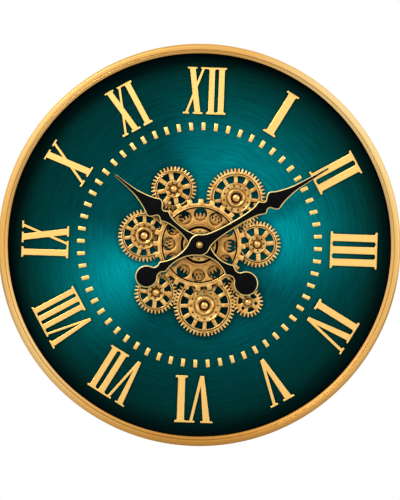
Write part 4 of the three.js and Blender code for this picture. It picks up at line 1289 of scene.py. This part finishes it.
def cover_openings(grow):
    """The cover's three openings, grown all round: for the door, the hanger and the knob."""
    (door_w, door_h), (window_w, window_h) = DOOR_OPENING, HANGER_WINDOW
    return [
        rounded_rectangle(door_w + grow, door_h + grow, 1.5, *middle("battery_door")),
        rounded_rectangle(window_w + grow, window_h + grow, 3, *middle("hanger_plate")),
        ring_points(KNOB_HOLE + grow / 2, 64, *middle("setting_knob")),
    ]


def cover_beads():
    """Pressed beads that stiffen the sheet: two rings, a border, and twelve spokes between the rings."""
    foot = COVER_FIELD + 0.2
    slope, edge = 0.9, COVER_RADIUS - 0.1
    beads = [
        [(inner - slope, foot), (inner, COVER_RAISED), (outer, COVER_RAISED), (outer + slope, foot)]
        for inner, outer in COVER_BEADS
    ]
    border = COVER_BORDER + slope
    beads.append([(COVER_BORDER, foot), (border, COVER_RAISED), (edge, COVER_RAISED), (edge, foot)])
    rings = lathe([soften(bead, 0.2) for bead in beads], sides=BEZEL_SIDES)
    width, length, centre = 5, 112, 197
    spoke = rounded_rectangle(width, length, width / 2, 0, centre)
    turns = [FULL_TURN * (i + 0.5) / 12 for i in range(12)]
    spokes = [flat_plate([spoke], COVER_RAISED, foot, edge=0.2, turn=turn) for turn in turns]
    return [smooth(rings, 30), *spokes]


def door_rails():
    """Rails for the door: walls with lips that hold its edges, and a stop below it."""
    x, y = middle("battery_door")
    width, height = DOOR_PLATE
    wall, lip, corner, gap = 2, 3.3, 0.2, 0.3
    root, wall_top, stop_top, lip_back, lip_front = 1.2, 4.5, 3.3, 3.6, 4.6
    reach = width / 2 + gap + wall / 2
    lip_reach = reach - 0.85
    length, centre = height + DOOR_TRAVEL + 2 * gap, y + DOOR_TRAVEL / 2
    sides = (-1, 1)
    blocks = [(wall, length, x + side * reach, centre, root, wall_top) for side in sides]
    blocks += [(lip, length - 0.2, x + side * lip_reach, centre, lip_back, lip_front) for side in sides]
    blocks.append((2 * reach + wall, wall, x, y - height / 2 - gap - wall / 2, root, stop_top))
    return [
        flat_plate([rounded_rectangle(across, up, corner, cx, cy)], back, front)
        for across, up, cx, cy, back, front in blocks
    ]


def make_cover():
    outline = ring_points(COVER_RADIUS, BEZEL_SIDES)
    sheet = flat_plate([outline, *cover_openings(0.4)], COVER_FIELD, COVER_INSIDE)
    frames = [
        flat_plate([outer, inner], COVER_RAISED, COVER_INSIDE - 0.1, edge=0.25)
        for outer, inner in zip(cover_openings(7), cover_openings(0))
    ]
    mesh = merged([sheet, *frames, *cover_beads(), *door_rails()])
    dress("back_cover_pressed", mesh, body_of_node["back_cover"], "cover_board", "back_cover")


def make_screws():
    """Cross-headed screws round the cover's border."""
    arm, half_slot = 2.0, 0.5
    quarter = [(arm, -half_slot), (arm, half_slot), (half_slot, half_slot)]
    turns = [FULL_TURN * i / 4 for i in range(4)]
    cross = [
        (x * math.cos(a) - y * math.sin(a), x * math.sin(a) + y * math.cos(a))
        for a in turns for x, y in quarter
    ]
    circle, count = 291.5, 8
    outlines = [ring_points(3.6, 32, 0.0, circle), [(x, y + circle) for x, y in cross]]
    places = [FULL_TURN * (i + 0.5) / count for i in range(count)]
    heads = [flat_plate(outlines, 0.02, COVER_FIELD, edge=0.15, turn=place) for place in places]
    dress("cover_screws", smooth(merged(heads), 30), body_of_node["back_cover"], "grey_steel")


def make_door():
    x, y = middle("battery_door")
    ridge_back, inside = levels("battery_door")
    back = inside - 1.5
    # Low ridges and an arrow, thin enough to pass under the cover when the door slides up
    low, sunk = back - 0.22, back + 0.3
    grip_width, ridge_width, ridge_pitch = 24, 1.2, 2.6
    arrow = [(x - 5, y + 6), (x + 5, y + 6), (x, y + 12)]
    ridges = [
        rounded_rectangle(grip_width, ridge_width, 0.55, x, y - 11 + ridge_pitch * i) for i in range(5)
    ]
    parts = [
        flat_plate([rounded_rectangle(*DOOR_PLATE, 2, x, y)], back, inside, edge=0.2),
        flat_plate([rounded_rectangle(grip_width, 2.6, 1.2, x, y - 15.4)], ridge_back, back + 0.7, edge=0.35),
        *(flat_plate([outline], low, sunk, edge=0.1) for outline in (arrow, *ridges)),
    ]
    dress("battery_door_fine", merged(parts), body_of_node["battery_door"], "black_plastic", "battery_door")


def keyhole(x, y, grow):
    """A round hole for the screw's head, with a slot above it that holds the neck."""
    half, radius, drop = 3.2 + grow, 6 + grow, 10
    lead = math.asin(half / radius)
    start, span = math.pi / 2 + lead, FULL_TURN - 2 * lead
    round_part = [start + span * i / 28 for i in range(29)]
    slot_end = [math.pi * i / 12 for i in range(13)]
    points = [(x + radius * math.cos(a), y + radius * math.sin(a) - drop) for a in round_part]
    return points + [(x + half * math.cos(a), y + half * math.sin(a) + drop) for a in slot_end]


def make_hanger():
    x, y = middle("hanger_plate")
    back, front = levels("hanger_plate")
    plate = flat_plate([rounded_rectangle(*HANGER_PLATE, 4, x, y), keyhole(x, y, 0)], back, front, edge=0.25)
    rim = flat_plate([keyhole(x, y, 2.2), keyhole(x, y, 0.1)], back - 0.35, back + 0.4, edge=0.2)
    lean = math.atan2(18, 9)
    rivets = [
        grown(rivet_ring, {
            "Count": 2, "Circle": 20.1, "Turn": turn, "Rivet Radius": 1.9, "Rivet Height": 0.7,
            "Place": in_row(x, y, back), "Material": finishes["grey_steel"],
        }) for turn in (lean, -lean)
    ]
    mesh = merged([plate, rim, *(smooth(heads, 60) for heads in rivets)])
    dress("hanger_plate_fine", mesh, body_of_node["hanger_plate"], "grey_steel", "hanger_plate")


def make_knob():
    x, y = middle("setting_knob")
    back, tip = levels("setting_knob")
    ribbed = grown(toothed_plate, {
        **NO_OPENINGS, "Teeth": 8, "Tip Radius": 7.9, "Root Radius": 7.1, "Tip Share": 0.18,
        "Root Share": 0.3, "Phase": 0.0, "Tooth Round": 0.3, "Bore": 5.6, "Thickness": 1.6,
        "Place": in_row(x, y, back), "Material": finishes["black_plastic"],
    }, edge=0.2)
    stem, dish_radius, inside = 2, 5.8, back + 1.5
    dish = [
        (0, back + 0.6), (dish_radius - 0.8, back + 0.6), (dish_radius, back + 0.3), (dish_radius, inside),
        (stem, inside), (stem, tip), (0, tip),
    ]
    grip = flat_plate([rounded_rectangle(9.4, 1.7, 0.8, x, y)], back + 0.1, back + 0.8, edge=0.15)
    mesh = smooth(merged([ribbed, lathe([dish], x, y, 64), grip]), 35)
    dress("setting_knob_fine", mesh, body_of_node["setting_knob"], "black_plastic", "setting_knob")


make_cover()
make_screws()
make_door()
make_hanger()
make_knob()


# Floor, light and camera, in metres
FLOOR_LEVEL = -0.75
FLOOR_REACH = 6.0
# Lamps: place, size and power in watts
LAMPS = {
    "key": ((-1.1, -2.2, 1.4), 0.9, 38.0),
    "fill": ((1.6, -2.0, 0.3), 1.4, 10.0),
    "back": ((-1.5, 1.6, 1.5), 1.0, 18.0),
}
# Light from all round, where 1 shows as white
SKY_LIGHT = 0.43
SKY_SEEN = 1.0
CAMERA_PLACE = (0.0011, -2.666, -0.0075)
CAMERA_LENS = 125.7
CAMERA_ROLL = math.radians(2)


def seen_rays(tree):
    """1 for rays that show the background: to the camera, in metal and through glass."""
    path = add(tree, "ShaderNodeLightPath")
    camera, glossy = path.outputs["Is Camera Ray"], path.outputs["Is Glossy Ray"]
    seen = add(tree, "ShaderNodeMath", {0: camera, 1: glossy}, operation="MAXIMUM")
    return add(tree, "ShaderNodeMath", {0: seen, 1: path.outputs["Is Transmission Ray"]}, operation="MAXIMUM")


def fade_to_white(tree):
    """To the camera, the floor goes over into the white background. Metal still mirrors the floor itself."""
    place = add(tree, "ShaderNodeTexCoord").outputs["Object"]
    on_floor = add(tree, "ShaderNodeVectorMath", {0: place, 1: (1.0, 1.0, 0.0)}, operation="MULTIPLY")
    distance = add(tree, "ShaderNodeVectorMath", {0: on_floor}, operation="LENGTH")
    far = add(tree, "ShaderNodeMapRange", {"Value": distance, "From Min": 0.8, "From Max": 2.0},
              interpolation_type="SMOOTHSTEP")
    path = add(tree, "ShaderNodeLightPath")
    share = add(tree, "ShaderNodeMath", {0: far, 1: path.outputs["Is Camera Ray"]}, operation="MULTIPLY")
    white = add(tree, "ShaderNodeEmission", {"Color": grey(1.0), "Strength": 1.0})
    output = next(node for node in tree.nodes if node.type == "OUTPUT_MATERIAL")
    paint = output.inputs["Surface"].links[0].from_socket
    mixed = add(tree, "ShaderNodeMixShader", {0: share, 1: paint, 2: white})
    connect(tree, mixed, output.inputs["Surface"])


def make_floor():
    ways = ((-1, -1), (1, -1), (1, 1), (-1, 1))
    corners = [(x * FLOOR_REACH, y * FLOOR_REACH, FLOOR_LEVEL) for x, y in ways]
    mesh = bpy.data.meshes.new("floor")
    mesh.from_pydata(corners, [], [(0, 1, 2, 3)])
    pale = moulded("pale_floor_paint", "#e6e6e4", "#ecece9", 60 * MM, 0.7)
    fade_to_white(pale.node_tree)
    mesh.materials.append(pale)
    as_object("floor", mesh)


def make_light():
    world = bpy.data.worlds.new("studio")
    scene.world = world
    world.use_nodes = True
    tree = world.node_tree
    tree.nodes.clear()
    strength = add(tree, "ShaderNodeMapRange", {
        "Value": seen_rays(tree), "To Min": SKY_LIGHT, "To Max": SKY_SEEN,
    })
    sky = add(tree, "ShaderNodeBackground", {"Color": grey(1.0), "Strength": strength})
    add(tree, "ShaderNodeOutputWorld", {"Surface": sky})
    for name, (place, size, power) in LAMPS.items():
        lamp = bpy.data.lights.new(name, "AREA")
        lamp.shape = "SQUARE"
        lamp.size = size
        lamp.energy = power
        obj = as_object(name, lamp)
        obj.location = place
        obj.rotation_euler = (-Vector(place)).to_track_quat("-Z", "Y").to_euler()


def make_camera():
    """Square on to the dial, and rolled a little."""
    lens = bpy.data.cameras.new("camera")
    lens.sensor_width = 36.0
    lens.lens = CAMERA_LENS
    camera = as_object("camera", lens)
    camera.location = CAMERA_PLACE
    roll = Matrix.Rotation(CAMERA_ROLL, 3, "Z")
    camera.rotation_euler = (Matrix.Rotation(math.pi / 2, 3, "X") @ roll).to_euler()
    scene.camera = camera


make_floor()
make_light()
make_camera()
